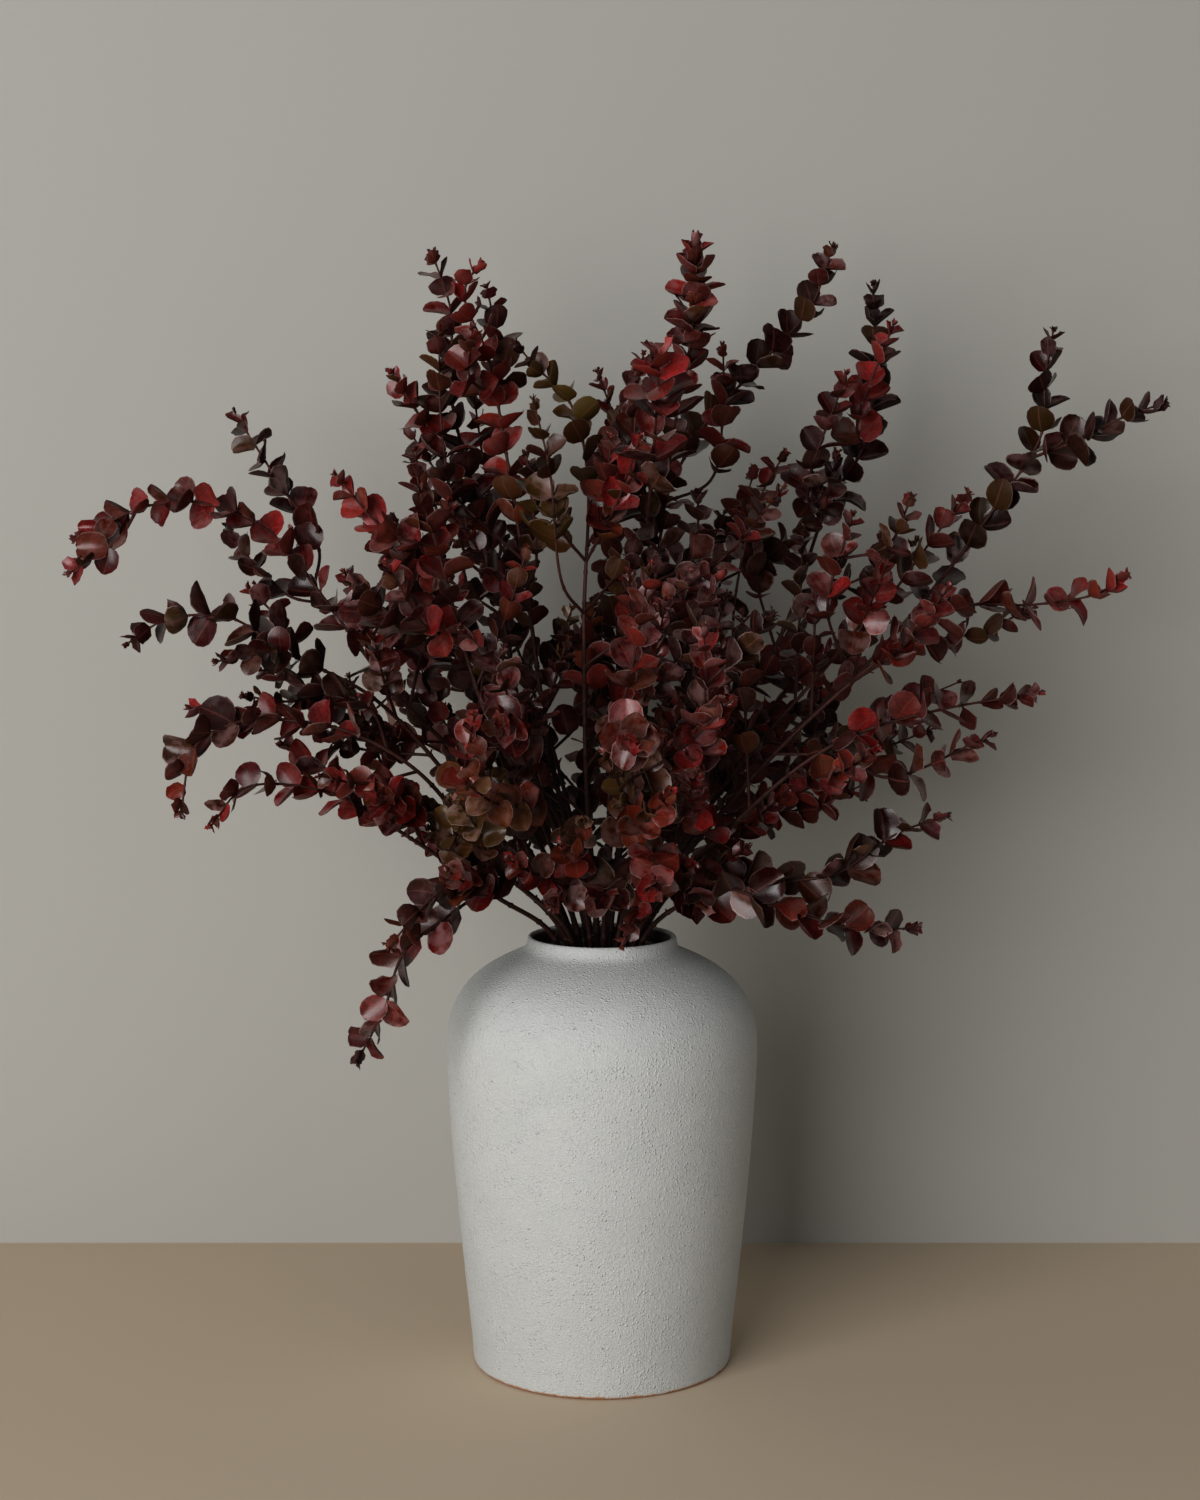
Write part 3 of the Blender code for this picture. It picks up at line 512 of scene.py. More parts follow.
def leaves_along(twig, facing, draw):
    """The twig's leaves, from its tip down: root, directions, age, length and place."""
    route, full = twig["route"], twig["full"]
    youngest = ROSETTE_LEAF if full else TIP_LEAF
    frames = turned_frames(route, Vector((draw.uniform(-1, 1), draw.uniform(-1, 1), 0.3)))
    quarter = draw.uniform(0, math.pi)
    vigour = draw.uniform(*VIGOUR) * (SIDE_VIGOUR if twig["kind"] == "side" else 1)
    turned = max(facing, draw.uniform(*FACING))
    window = Vector(WINDOW_WAY)
    leaves, down, number = [], FIRST_PAIR_FROM_TIP, 0
    while down < twig["leafy"]:
        i = len(route) - 1 - down / STEP
        if i < LEAFLESS_STEPS:
            break
        low = int(i)
        root = route[low].lerp(route[min(low + 1, len(route) - 1)], i - low)
        ahead, side = frames[low]
        age = 1 - math.exp(-LEAF_GROWTH * number)
        size = vigour * (youngest + (FULL_LEAF - youngest) * age)
        opened = min(1, age * OPENING_GROWTH)
        opening = math.radians(YOUNG_OPENING + (GROWN_OPENING - YOUNG_OPENING) * opened)
        crowded = full and number < len(ROSETTE_OPENINGS)
        if crowded:
            opening = math.radians(ROSETTE_OPENINGS[number])
        for half in (0, 1):
            turn = quarter + number * math.pi / 2 + half * math.pi + draw.uniform(-TURN_SPREAD, TURN_SPREAD)
            out = Matrix.Rotation(turn, 3, ahead) @ side
            open_by = opening + draw.uniform(-OPENING_SPREAD, OPENING_SPREAD)
            along = ahead * math.cos(open_by) + out * math.sin(open_by)
            face = ahead * math.sin(open_by) - out * math.cos(open_by)
            lit = (window - along * window.dot(along)).normalized()
            if not crowded:
                face = face.lerp(lit, turned).normalized()
            leaves.append({"root": root, "along": along, "face": face, "age": age,
                           "length": size * draw.uniform(*LENGTH_SPREAD), "down": down})
        down += (PAIR_GAP_AT_TIP + PAIR_GAP_PER_LEAF * size) * (ROSETTE_CROWDING if crowded else 1)
        number += 1
    return leaves


def given_twigs(routes):
    """Each stem's axis, from the vase's floor to its tip, and then the twigs that are given."""
    necks = neck_places({name: twigs[0][1][0] for name, twigs in routes.items()})
    bunch = {}
    for name, twigs in routes.items():
        neck = necks[name]
        floor = Vector((*(neck * FLOOR_SPREAD), INSIDE_FLOOR_HEIGHT + FLOOR_GAP))
        waist = Vector((*(neck * (1 + FLOOR_SPREAD) / 2), VASE_HEIGHT / 2))
        axis = smooth_route([floor, waist, Vector((*neck, NECK_HEIGHT))] + twigs[0][1])
        grown = [{"route": axis, "leafy": twigs[0][0], "kind": "axis", "full": twigs[0][2]}]
        for leafy, points, full in twigs[1:]:
            carrier = min([twig["route"] for twig in grown], key=lambda route: least_gap(route, [points[0]]))
            at = max(END_STEPS, nearest_index(carrier, points[0]) - STEPS_BACK)
            at = min(at, len(carrier) - 1 - END_STEPS)
            route = smooth_route([carrier[at]] + points)
            leafy = min(leafy, STEP * (len(route) - 1 - END_STEPS))
            grown.append({"route": route, "leafy": leafy, "kind": "twig", "full": full})
        bunch[name] = grown
    return bunch


def add_side_twigs(bunch):
    """Short twigs along the bare part of each axis, where they clear the others and the gaps."""
    taken = {name: [p for twig in twigs for p in twig["route"]] for name, twigs in bunch.items()}
    for number, (name, twigs) in enumerate(bunch.items()):
        draw = random.Random(TWIG_SEED + number)
        axis = twigs[0]["route"]
        bare_end = len(axis) - int(twigs[0]["leafy"] / STEP)
        first = next((i for i, p in enumerate(axis) if p.z > SIDE_FROM_HEIGHT), len(axis))
        turn = draw.uniform(*ANY_TURN)
        for at in range(first, bare_end - END_STEPS, round(SIDE_SPACING / STEP)):
            length = draw.uniform(*SIDE_LENGTHS) * MM
            for _ in range(SIDE_TRIES):
                turn += TURN
                route = side_twig(axis, at, turn, length, draw)
                free = route[CLEAR_FROM_POINT:]
                own = [p for twig in twigs[1:] for p in twig["route"]]
                others = [p for other in taken if other != name for p in taken[other]]
                near = [p for p in others if (p - route[0]).length < length * CLEAR_REACH]
                clear = least_gap(route, near) > CLEAR_OF_OTHERS and least_gap(free, own) > CLEAR_OF_OWN
                if clear and not any(in_gap(p, GAP_MARGIN) for p in free):
                    twigs.append({"route": route, "leafy": length - SIDE_BARE, "kind": "side",
                                  "full": False})
                    taken[name] += route
                    break


def grow():
    """Every stem as a list of twigs with their leaves, the first of them its axis."""
    routes = {}
    for name, twigs in {**STEMS, **back_stems()}.items():
        routes[name] = [(row[0] * MM, [Vector(p) * MM for p in row[1]], FULL in row) for row in twigs]
    bunch = given_twigs(routes)
    add_side_twigs(bunch)
    for number, (name, twigs) in enumerate(bunch.items()):
        draw = random.Random(LEAF_SEED + number)
        for twig in twigs:
            twig["leaves"] = [leaf for leaf in leaves_along(twig, ARCH_FACING.get(name, 0), draw)
                              if not in_gap(leaf["root"] + leaf["along"] * leaf["length"] / 2, 0)]
    return bunch


def deselect_all():
    if bpy.context.object and bpy.context.object.mode != "OBJECT":
        bpy.ops.object.mode_set(mode="OBJECT")
    bpy.ops.object.select_all(action="DESELECT")


def new_object(name, data):
    """A new object in the scene, selected and active."""
    made = bpy.data.objects.new(name, data)
    bpy.context.scene.collection.objects.link(made)
    deselect_all()
    made.select_set(True)
    bpy.context.view_layer.objects.active = made
    return made


def select_where(mesh, wanted):
    """In edit mode, selects the vertices that pass a test, and nothing else."""
    shape = bmesh.from_edit_mesh(mesh)
    for vert in shape.verts:
        vert.select_set(False)
    for vert in shape.verts:
        vert.select_set(bool(wanted(vert)))
    shape.select_flush_mode()
    bmesh.update_edit_mesh(mesh)


def leaf_pattern(name, half_widths):
    """One leaf along X: a grid drawn out to the leaf's outline, with an upper and an under skin."""
    deselect_all()
    rows = len(STATIONS) - 1
    bpy.ops.mesh.primitive_grid_add(x_subdivisions=rows, y_subdivisions=LEAF_COLUMNS, size=2)
    leaf = bpy.context.object
    leaf.name = name
    bpy.ops.object.mode_set(mode="EDIT")
    for row in range(rows + 1):
        at = -1 + 2 * row / rows
        select_where(leaf.data, lambda vert: abs(vert.co.x - at) < SAME_ROW)
        bpy.ops.transform.resize(value=(1, half_widths[row], 1), center_override=(at, 0, 0))
        bpy.ops.transform.translate(value=(STATIONS[row] - at + SET_ASIDE, 0, 0))
    select_where(leaf.data, lambda vert: not vert.is_boundary)
    bpy.ops.transform.translate(value=(0, 0, SKIN_HEIGHT))
    bpy.ops.mesh.select_all(action="SELECT")
    bpy.ops.transform.translate(value=(-SET_ASIDE, 0, 0))
    bpy.ops.mesh.duplicate()
    bpy.ops.transform.resize(value=(1, 1, -1), center_override=(0, 0, 0))
    bpy.ops.mesh.flip_normals()
    bpy.ops.mesh.select_all(action="SELECT")
    bpy.ops.mesh.remove_doubles(threshold=SAME_CORNER)
    bpy.ops.mesh.normals_make_consistent(inside=False)
    bpy.ops.object.mode_set(mode="OBJECT")
    return leaf


def corners_of(leaf):
    return np.array([vert.co for vert in leaf.data.vertices])


def nearness(place, spots):
    """1 in the middle of the nearest of the spots, falling to 0 at their reach."""
    gaps = [math.hypot(place.x - x * MM, place.z - z * MM) for x, z in spots]
    return max(0.0, 1 - min(gaps) / PLACE_REACH)


def leaf_facts(number, twigs):
    """Where each leaf of a stem stands, how it is bent and what colour it has."""
    draw = random.Random(LOOKS_SEED + number)
    facts = []
    for twig in twigs:
        twig_tone = draw.gauss(*TWIG_TONES)
        tip = twig["route"][-1]
        ahead = (tip - twig["route"][-3]).normalized()
        side = ahead.orthogonal().normalized()
        rows = list(twig["leaves"])
        for quarter in range(4):
            out = Matrix.Rotation(math.pi / 2 * quarter, 3, ahead) @ side
            open_by = math.radians(BUD_OPENINGS[quarter % 2])
            rows.append({"root": tip - ahead * BUD_INSET, "age": 0.0,
                         "length": BUD_LEAVES[quarter % 2] * MM * draw.uniform(*BUD_SPREAD),
                         "along": ahead * math.cos(open_by) + out * math.sin(open_by),
                         "face": ahead * math.sin(open_by) - out * math.cos(open_by)})
        for leaf in rows:
            tone = draw.gauss(twig_tone, TONE_SPREAD) + YOUNG_TONE * (1 - leaf["age"])
            front = leaf["root"].y < FRONT_END
            red, pink, olive = [nearness(leaf["root"], places) if front else 0
                                for places in (RED_PLACES, PINK_PLACES, OLIVE_PLACES)]
            facts.append({
                **leaf,
                "width": draw.uniform(*LEAF_WIDTHS),
                "fold": math.radians(draw.gauss(*LEAF_FOLDS)),
                "cup": max(0.0, draw.gauss(*LEAF_CUPS)),
                "bend": math.radians(draw.gauss(*LEAF_BENDS)),
                "twist": math.radians(draw.gauss(*LEAF_TWISTS)),
                "roll": math.radians(draw.gauss(*LEAF_ROLLS)),
                "wave": abs(draw.gauss(*LEAF_WAVES)),
                "phase": draw.uniform(*ANY_TURN),
                "tone": min(1, max(0, tone + RED_TONE * red)),
                "bloom": min(1, max(0, draw.gauss(*LEAF_BLOOMS) + PINK_BLOOM * pink)),
                "olive": min(1, max(0, OLIVE_SHARE * olive + draw.gauss(*LEAF_OLIVES))),
            })
    return facts


def edge_shares(corners):
    """How far across the blade each corner lies: 0 at the midrib, -1 and 1 at the edges."""
    widths = np.interp(corners[:, 0], STATIONS, GROWN_HALF_WIDTHS)
    return np.clip(corners[:, 1] / np.maximum(widths, LEAST_WIDTH), -1, 1)


def column(facts, name):
    return np.array([fact[name] for fact in facts])[:, None]


def bent_leaves(facts, narrow, broad):
    """Every leaf of a stem as a row of corners, between the narrow and the broad pattern by its
    age, then folded, cupped, waved, twisted and bent, and set on its twig."""
    age = np.clip(column(facts, "age") * OUTLINE_GROWTH, 0, 1)
    length = column(facts, "length")
    share = np.broadcast_to(broad[:, 0], (len(facts), len(broad)))
    half = narrow[None, :, 1] * (1 - age) + broad[None, :, 1] * age
    aside = half * column(facts, "width") * length
    thick = broad[None, :, 2] * LEAF_THICKNESS * (YOUNG_THICKNESS + (1 - YOUNG_THICKNESS) * age)
    open_end = np.clip((share - STALK_END) / STALK_FADE, 0, 1)

    fold = column(facts, "fold") * open_end
    along_edge = share * WAVE_ALONG + column(facts, "phase") + WAVE_ACROSS * np.sign(aside)
    wave = column(facts, "wave") * np.sin(along_edge)
    across = aside * np.cos(fold) - thick * np.sin(fold) * np.sign(aside)
    edge = np.abs(edge_shares(broad))[None, :]
    rise = np.abs(aside) * (np.sin(fold) * edge ** FOLD_ROUNDING + wave * open_end) + thick * np.cos(fold)
    rise += column(facts, "cup") * length * (edge ** 2 * np.abs(half)
                                             + CUP_ALONG * np.abs(share - 0.5) ** 2)
    twist = column(facts, "twist") * share + column(facts, "roll")
    across, rise = (across * np.cos(twist) - rise * np.sin(twist),
                    across * np.sin(twist) + rise * np.cos(twist))
    bend = column(facts, "bend")
    bend = np.where(np.abs(bend) < LEAST_BEND, LEAST_BEND, bend)
    turned = bend * share
    ahead = length * np.sin(turned) / bend + rise * np.sin(turned)
    up = -length * (1 - np.cos(turned)) / bend + rise * np.cos(turned)

    root, along, face = [np.array([fact[name] for fact in facts])[:, None, :]
                         for name in ("root", "along", "face")]
    sideways = np.cross(face, along)
    return root + along * ahead[..., None] + sideways * across[..., None] + face * up[..., None]


def drawn_leaves(name, facts, young, grown):
    """Every leaf of one stem, each its own bent copy of the modelled leaf, in one mesh."""
    broad = corners_of(grown)
    places = bent_leaves(facts, corners_of(young), broad)
    count, corners = places.shape[:2]
    pattern = [tuple(poly.vertices) for poly in grown.data.polygons]
    faces = [tuple(v + i * corners for v in poly) for i in range(count) for poly in pattern]
    mesh = bpy.data.meshes.new(name)
    mesh.from_pydata(places.reshape(-1, 3).tolist(), [], faces)

    # The upper skin takes the first material and the under skin the second.
    upper = [poly.center.z > 0 for poly in grown.data.polygons]
    skins = np.tile(np.where(upper, 0, 1), count).astype(np.int32)
    mesh.polygons.foreach_set("material_index", skins)
    # The map holds how far along and how far across its leaf each corner lies.
    loops = np.array([v for poly in pattern for v in poly])
    flat = np.stack([broad[:, 0], 0.5 + 0.5 * edge_shares(broad)], 1)[loops]
    laid = mesh.uv_layers.new(name="leaf")
    laid.data.foreach_set("uv", np.tile(flat, (count, 1)).ravel())
    looks = mesh.attributes.new("leaf_looks", "FLOAT_COLOR", "POINT")
    rows = np.concatenate([column(facts, k) for k in ("tone", "olive", "bloom")] + [np.ones((count, 1))], 1)
    looks.data.foreach_set("color", np.repeat(rows, corners, 0).astype(np.float32).ravel())
    mesh.update()

    made = new_object(name, mesh)
    bpy.ops.object.shade_smooth_by_angle(angle=math.radians(SMOOTH_ANGLE))
    return made


def route_length(route):
    return STEP * (len(route) - 1)


def spaced_places(route, nodes):
    """Places along a twig, by distance from its root: evenly, and three close by each node."""
    total = route_length(route)
    wanted = {0.0, total}
    wanted.update(k * STEP for k in range(int(total / STEP) + 1))
    for at in nodes:
        wanted.update((at - NODE_REACH, at, at + NODE_REACH))
    kept = []
    for place in sorted(wanted):
        if 0 <= place <= total and (not kept or place - kept[-1] > LEAST_SPACING):
            kept.append(place)
    return kept


def on_route(route, place):
    i = min(len(route) - 2, int(place / STEP))
    return route[i].lerp(route[i + 1], place / STEP - i)


def bare_nodes(first, leafless, draw):
    """The nodes that have lost their leaves, by distance from the twig's root."""
    nodes = []
    at = first
    while at < leafless:
        nodes.append(at)
        at += BARE_NODE_SPACING * draw.uniform(*BARE_NODE_SPREAD)
    return nodes


def wood_radius(thick, share):
    """The wood's radius at a share of the way from its root, where it is thick, to its tip."""
    return TIP_RADIUS + (thick - TIP_RADIUS) * (1 - share ** WOOD_TAPER)


def wood_spline(curve, places, radii):
    line = curve.splines.new("POLY")
    line.points.add(len(places) - 1)
    for point, place, radius in zip(line.points, places, radii):
        point.co = (*place, 1)
        point.radius = radius
    line.use_smooth = True


def stub(curve, route, at, draw):
    """The broken end of a lost twig, which stands out from the axis at a bare node."""
    place = on_route(route, at)
    radius = wood_radius(STEM_RADIUS, at / route_length(route))
    ahead = (on_route(route, at + LOOK_AHEAD) - place).normalized()
    out = Matrix.Rotation(draw.uniform(*ANY_TURN), 3, ahead) @ ahead.orthogonal().normalized()
    way = (out + ahead * draw.uniform(*STUB_LEANS)).normalized()
    long = radius + draw.uniform(*STUB_LENGTHS) * MM
    wood_spline(curve, [place, place + way * (radius * STUB_COLLAR), place + way * long],
                [radius * share for share in STUB_RADII])


def drawn_wood(name, number, twigs):
    """One stem's wood: its axis and twigs, thickened at each node, with stubs of lost twigs."""
    draw = random.Random(WOOD_SEED + number)
    curve = bpy.data.curves.new(name, "CURVE")
    curve.dimensions = "3D"
    curve.bevel_depth = 1.0
    curve.bevel_resolution = 1
    curve.use_fill_caps = True
    for twig in twigs:
        route = twig["route"]
        total = route_length(route)
        axis = twig["kind"] == "axis"
        thick, swell = (STEM_RADIUS, AXIS_SWELL) if axis else (TWIG_RADIUS, TWIG_SWELL)
        bare = bare_nodes(NECK_HEIGHT if axis else FIRST_BARE_NODE, total - twig["leafy"], draw)
        nodes = sorted({round(total - leaf["down"], 5) for leaf in twig["leaves"]}) + bare
        places = spaced_places(route, nodes)
        radii = []
        for place in places:
            nearest = max([0] + [1 - abs(place - at) / NODE_REACH for at in nodes])
            radii.append(wood_radius(thick, place / total) * (1 + swell * nearest))
        wood_spline(curve, [on_route(route, place) for place in places], radii)
        for at in bare if axis else []:
            if draw.random() >= STUBLESS:
                stub(curve, route, at, draw)
    new_object(name, curve)
    bpy.ops.object.convert(target="MESH")
    made = bpy.context.object
    made.name = name
    return made


def drawn_vase():
    """The vase: a ring drawn up, out and in along the profile, then rounded."""
    outline = FOOT_RINGS + BODY_RINGS + NECK_RINGS + INSIDE_RINGS
    deselect_all()
    first_radius, first_height = outline[0]
    bpy.ops.mesh.primitive_circle_add(vertices=VASE_COLUMNS, radius=first_radius * MM, fill_type="NGON",
                                      location=(0, 0, first_height * MM))
    vase = bpy.context.object
    vase.name = "stucco_vase"
    bpy.ops.object.transform_apply(location=True, rotation=True, scale=True)
    bpy.ops.object.mode_set(mode="EDIT")
    bpy.ops.mesh.select_all(action="SELECT")
    bpy.ops.mesh.inset(thickness=FOOT_INSET * MM, depth=0)
    select_where(vase.data, lambda vert: vert.co.xy.length > (first_radius - FOOT_INSET / 2) * MM)
    for (radius, height), (wider, higher) in zip(outline, outline[1:]):
        bpy.ops.mesh.extrude_region_move(TRANSFORM_OT_translate={"value": (0, 0, (higher - height) * MM)})
        bpy.ops.transform.resize(value=(wider / radius, wider / radius, 1),
                                 center_override=(0, 0, higher * MM))
    bpy.ops.mesh.fill()
    bpy.ops.mesh.select_all(action="SELECT")
    bpy.ops.mesh.normals_make_consistent(inside=False)
    bpy.ops.object.mode_set(mode="OBJECT")
    rounded = vase.modifiers.new("rounded", "SUBSURF")
    rounded.levels = rounded.render_levels = ROUNDING
    bpy.ops.object.modifier_apply(modifier="rounded")
    bpy.ops.object.shade_smooth()
    return vase


def linear(code):
    """An sRGB hex colour as the linear colour that shaders take."""
    parts = [int(code[k:k + 2], 16) / 255 for k in (1, 3, 5)]
    return (*[p / 12.92 if p <= 0.04045 else ((p + 0.055) / 1.055) ** 2.4 for p in parts], 1.0)


def feed(tree, made, inputs):
    """Gives a node its inputs, each a value or a socket, by input name or number."""
    for name, value in inputs.items():
        if isinstance(value, bpy.types.NodeSocket):
            tree.links.new(value, made.inputs[name])
        else:
            made.inputs[name].default_value = value


def node(tree, kind, inputs=None, **settings):
    """Adds a node with its own settings and its inputs."""
    made = tree.nodes.new("ShaderNode" + kind)
    for name, value in settings.items():
        setattr(made, name, value)
    feed(tree, made, inputs or {})
    return made


def colour_stops(ramp, stops):
    """Sets a colour ramp's stops from pairs of place and hex colour."""
    while len(ramp.color_ramp.elements) > 1:
        ramp.color_ramp.elements.remove(ramp.color_ramp.elements[-1])
    for number, (place, code) in enumerate(stops):
        stop = ramp.color_ramp.elements[0] if number == 0 else ramp.color_ramp.elements.new(place)
        stop.position = place
        stop.color = linear(code)
    return ramp.outputs["Color"]


def new_material(name):
    made = bpy.data.materials.new(name)
    made.use_nodes = True
    tree = made.node_tree
    return made, tree, tree.nodes["Principled BSDF"]


def leaf_skin(name, tones, olive_tone, bloom_tone, bloom_share, rib_tone, rib_share, rib_relief,
              rim_share, roughness, finish):
    """The nodes that both faces of the leaf share: tones, bloom, midrib, rim with its painted highlight,
    gloss and grain.
    """
    made, tree, shader = new_material(name)
    looks = node(tree, "Attribute", attribute_name="leaf_looks")
    tone, olive, bloom = node(tree, "SeparateColor", {"Color": looks.outputs["Color"]}).outputs
    spot = node(tree, "TexCoord").outputs["Object"]
    # Blotches about 6 mm across move each leaf's tone a little up and down.
    blotch = node(tree, "TexNoise", {"Vector": spot, "Scale": 160, "Detail": 3, "Roughness": 0.6})
    shift = node(tree, "Math", {0: blotch.outputs["Fac"], 1: 0.5, 2: -0.25}, operation="MULTIPLY_ADD")
    # So do freckles about 2 mm across, with finer ones among them.
    freckle = node(tree, "TexNoise", {"Vector": spot, "Scale": 480, "Detail": 3, "Roughness": 0.7})
    fine = node(tree, "Math", {0: freckle.outputs["Fac"], 1: 0.7, 2: -0.35}, operation="MULTIPLY_ADD")
    moved = node(tree, "Math", {0: shift.outputs[0], 1: fine.outputs[0]}, operation="ADD")
    toned = node(tree, "Math", {0: tone, 1: moved.outputs[0]}, operation="ADD", use_clamp=True)
    ramp = node(tree, "ValToRGB", {"Fac": toned.outputs[0]})
    wine = colour_stops(ramp, tones)
    green = node(tree, "Mix", {0: olive, 6: wine, 7: linear(olive_tone)}, data_type="RGBA")
    # The bloom lies thicker in soft patches about 8 mm across.
    patch = node(tree, "TexNoise", {"Vector": spot, "Scale": 120, "Detail": 2})
    wax = node(tree, "MapRange",
               {"Value": patch.outputs["Fac"], "From Min": 0.4, "From Max": 0.62, "To Max": bloom_share})
    waxed = node(tree, "Math", {0: wax.outputs[0], 1: bloom}, operation="MULTIPLY")
    pale = node(tree, "Mix", {0: waxed.outputs[0], 6: green.outputs[2], 7: linear(bloom_tone)},
                data_type="RGBA")
    # The leaf's own map: the midrib is a thin line down its middle, the rim its two edges.
    laid = node(tree, "UVMap", uv_map="leaf")
    across = node(tree, "SeparateXYZ", {"Vector": laid.outputs[0]}).outputs["Y"]
    off = node(tree, "Math", {0: across, 1: 0.5}, operation="SUBTRACT")
    gap = node(tree, "Math", {0: off.outputs[0]}, operation="ABSOLUTE").outputs[0]
    rib = node(tree, "MapRange",
               {"Value": gap, "From Min": 0.012, "From Max": 0.04, "To Min": rib_share, "To Max": 0.0})
    ribbed = node(tree, "Mix", {0: rib.outputs[0], 6: pale.outputs[2], 7: linear(rib_tone)},
                  data_type="RGBA")
    # The pale rim is of uneven width and stands out most on leaves with much bloom. It is partly the leaf's
    # own pale margin and partly a painted highlight where the edges catch the light.
    uneven_rim_line = node(tree, "Math", {0: freckle.outputs["Fac"], 1: 0.06, 2: gap}, operation="MULTIPLY_ADD")
    edge = node(tree, "MapRange", {"Value": uneven_rim_line.outputs[0], "From Min": 0.485, "From Max": 0.525,
                                   "To Min": 0.0, "To Max": rim_share})
    bright = node(tree, "Math", {0: bloom, 1: 1.6, 2: 0.35}, operation="MULTIPLY_ADD", use_clamp=True)
    rim_and_highlight = node(tree, "Math", {0: edge.outputs[0], 1: bright.outputs[0]}, operation="MULTIPLY")
    rim_and_highlight_mixed = node(tree, "Mix", {0: rim_and_highlight.outputs[0], 6: ribbed.outputs[2], 7: linear("#b39893")},
                  data_type="RGBA")
    # Rubbed patches shine, waxy ones are dull.
    dull = node(tree, "MapRange", {"Value": patch.outputs["Fac"], "From Min": 0.35, "From Max": 0.65,
                                   "To Min": roughness[0], "To Max": roughness[1]})
    # Fine skin grain, drawn at 0.9 mm so that it shows.
    grain = node(tree, "TexNoise", {"Vector": spot, "Scale": 1100, "Detail": 2})
    relief = node(tree, "Math", {0: rib.outputs[0], 1: rib_relief, 2: grain.outputs["Fac"]},
                  operation="MULTIPLY_ADD")
    bump = node(tree, "Bump", {"Height": relief.outputs[0], "Strength": 0.3, "Distance": 0.0004})
    feed(tree, shader, {"Base Color": rim_and_highlight_mixed.outputs[2], "Roughness": dull.outputs[0],
                        "Normal": bump.outputs["Normal"], **finish})
    return made


def leaf_upper():
    """Glycerine-preserved eucalyptus leaf, upper face: waxy, dark wine red, with a pale bloom on some."""
    tones = [(0.0, "#150403"), (0.3, "#310b08"), (0.55, "#521411"), (0.78, "#741d1b"), (1.0, "#962a27")]
    return leaf_skin("preserved_eucalyptus_leaf_upper", tones, olive_tone="#4a3416",
                     bloom_tone="#b08a87", bloom_share=0.64, rib_tone="#8a5044", rib_share=0.22,
                     rib_relief=-0.8, rim_share=0.55, roughness=(0.26, 0.46),
                     finish={"Specular IOR Level": 0.4, "Coat Weight": 0.3, "Coat Roughness": 0.22})


def leaf_under():
    """The same leaf's underside: duller, greyer brown, the midrib standing out."""
    tones = [(0.0, "#1d0c0a"), (0.35, "#371915"), (0.7, "#54241f"), (1.0, "#742b25")]
    return leaf_skin("preserved_eucalyptus_leaf_under", tones, olive_tone="#4b3a1a",
                     bloom_tone="#86696a", bloom_share=0.6, rib_tone="#7a4a40", rib_share=0.4,
                     rib_relief=1.0, rim_share=0.5, roughness=(0.4, 0.6),
                     finish={"Specular IOR Level": 0.15})


def bark():
    """Dry eucalyptus wood: nearly black brown by the vase, redder and lighter far out, cracked and rough."""
    made, tree, shader = new_material("dry_eucalyptus_bark")
    spot = node(tree, "TexCoord").outputs["Object"]
    # The further from the vase's mouth, the younger and lighter, with mottles about 4 mm across.
    far = node(tree, "VectorMath", {0: spot, 1: (0, 0, VASE_HEIGHT)}, operation="DISTANCE")
    mottle = node(tree, "TexNoise", {"Vector": spot, "Scale": 260, "Detail": 4, "Roughness": 0.65})
    young = node(tree, "MapRange", {"Value": far.outputs["Value"], "From Min": 0.05, "From Max": 0.4,
                                    "To Min": 0.3, "To Max": 0.5})
    shade = node(tree, "Math", {0: mottle.outputs["Fac"], 1: 0.5, 2: young.outputs[0]},
                 operation="MULTIPLY_ADD")
    ramp = node(tree, "ValToRGB", {"Fac": shade.outputs[0]})
    brown = colour_stops(ramp, [(0.0, "#0b0505"), (0.3, "#190d0a"), (0.55, "#2c1712"), (0.8, "#4a261e"),
                                (1.0, "#673529")])
    # Cracks about 1 mm wide.
    crack = node(tree, "TexNoise", {"Vector": spot, "Scale": 900, "Detail": 4})
    bump = node(tree, "Bump", {"Height": crack.outputs["Fac"], "Strength": 0.6, "Distance": 0.0006})
    feed(tree, shader, {"Base Color": brown, "Normal": bump.outputs["Normal"], "Roughness": 0.6,
                        "Specular IOR Level": 0.3})
    return made


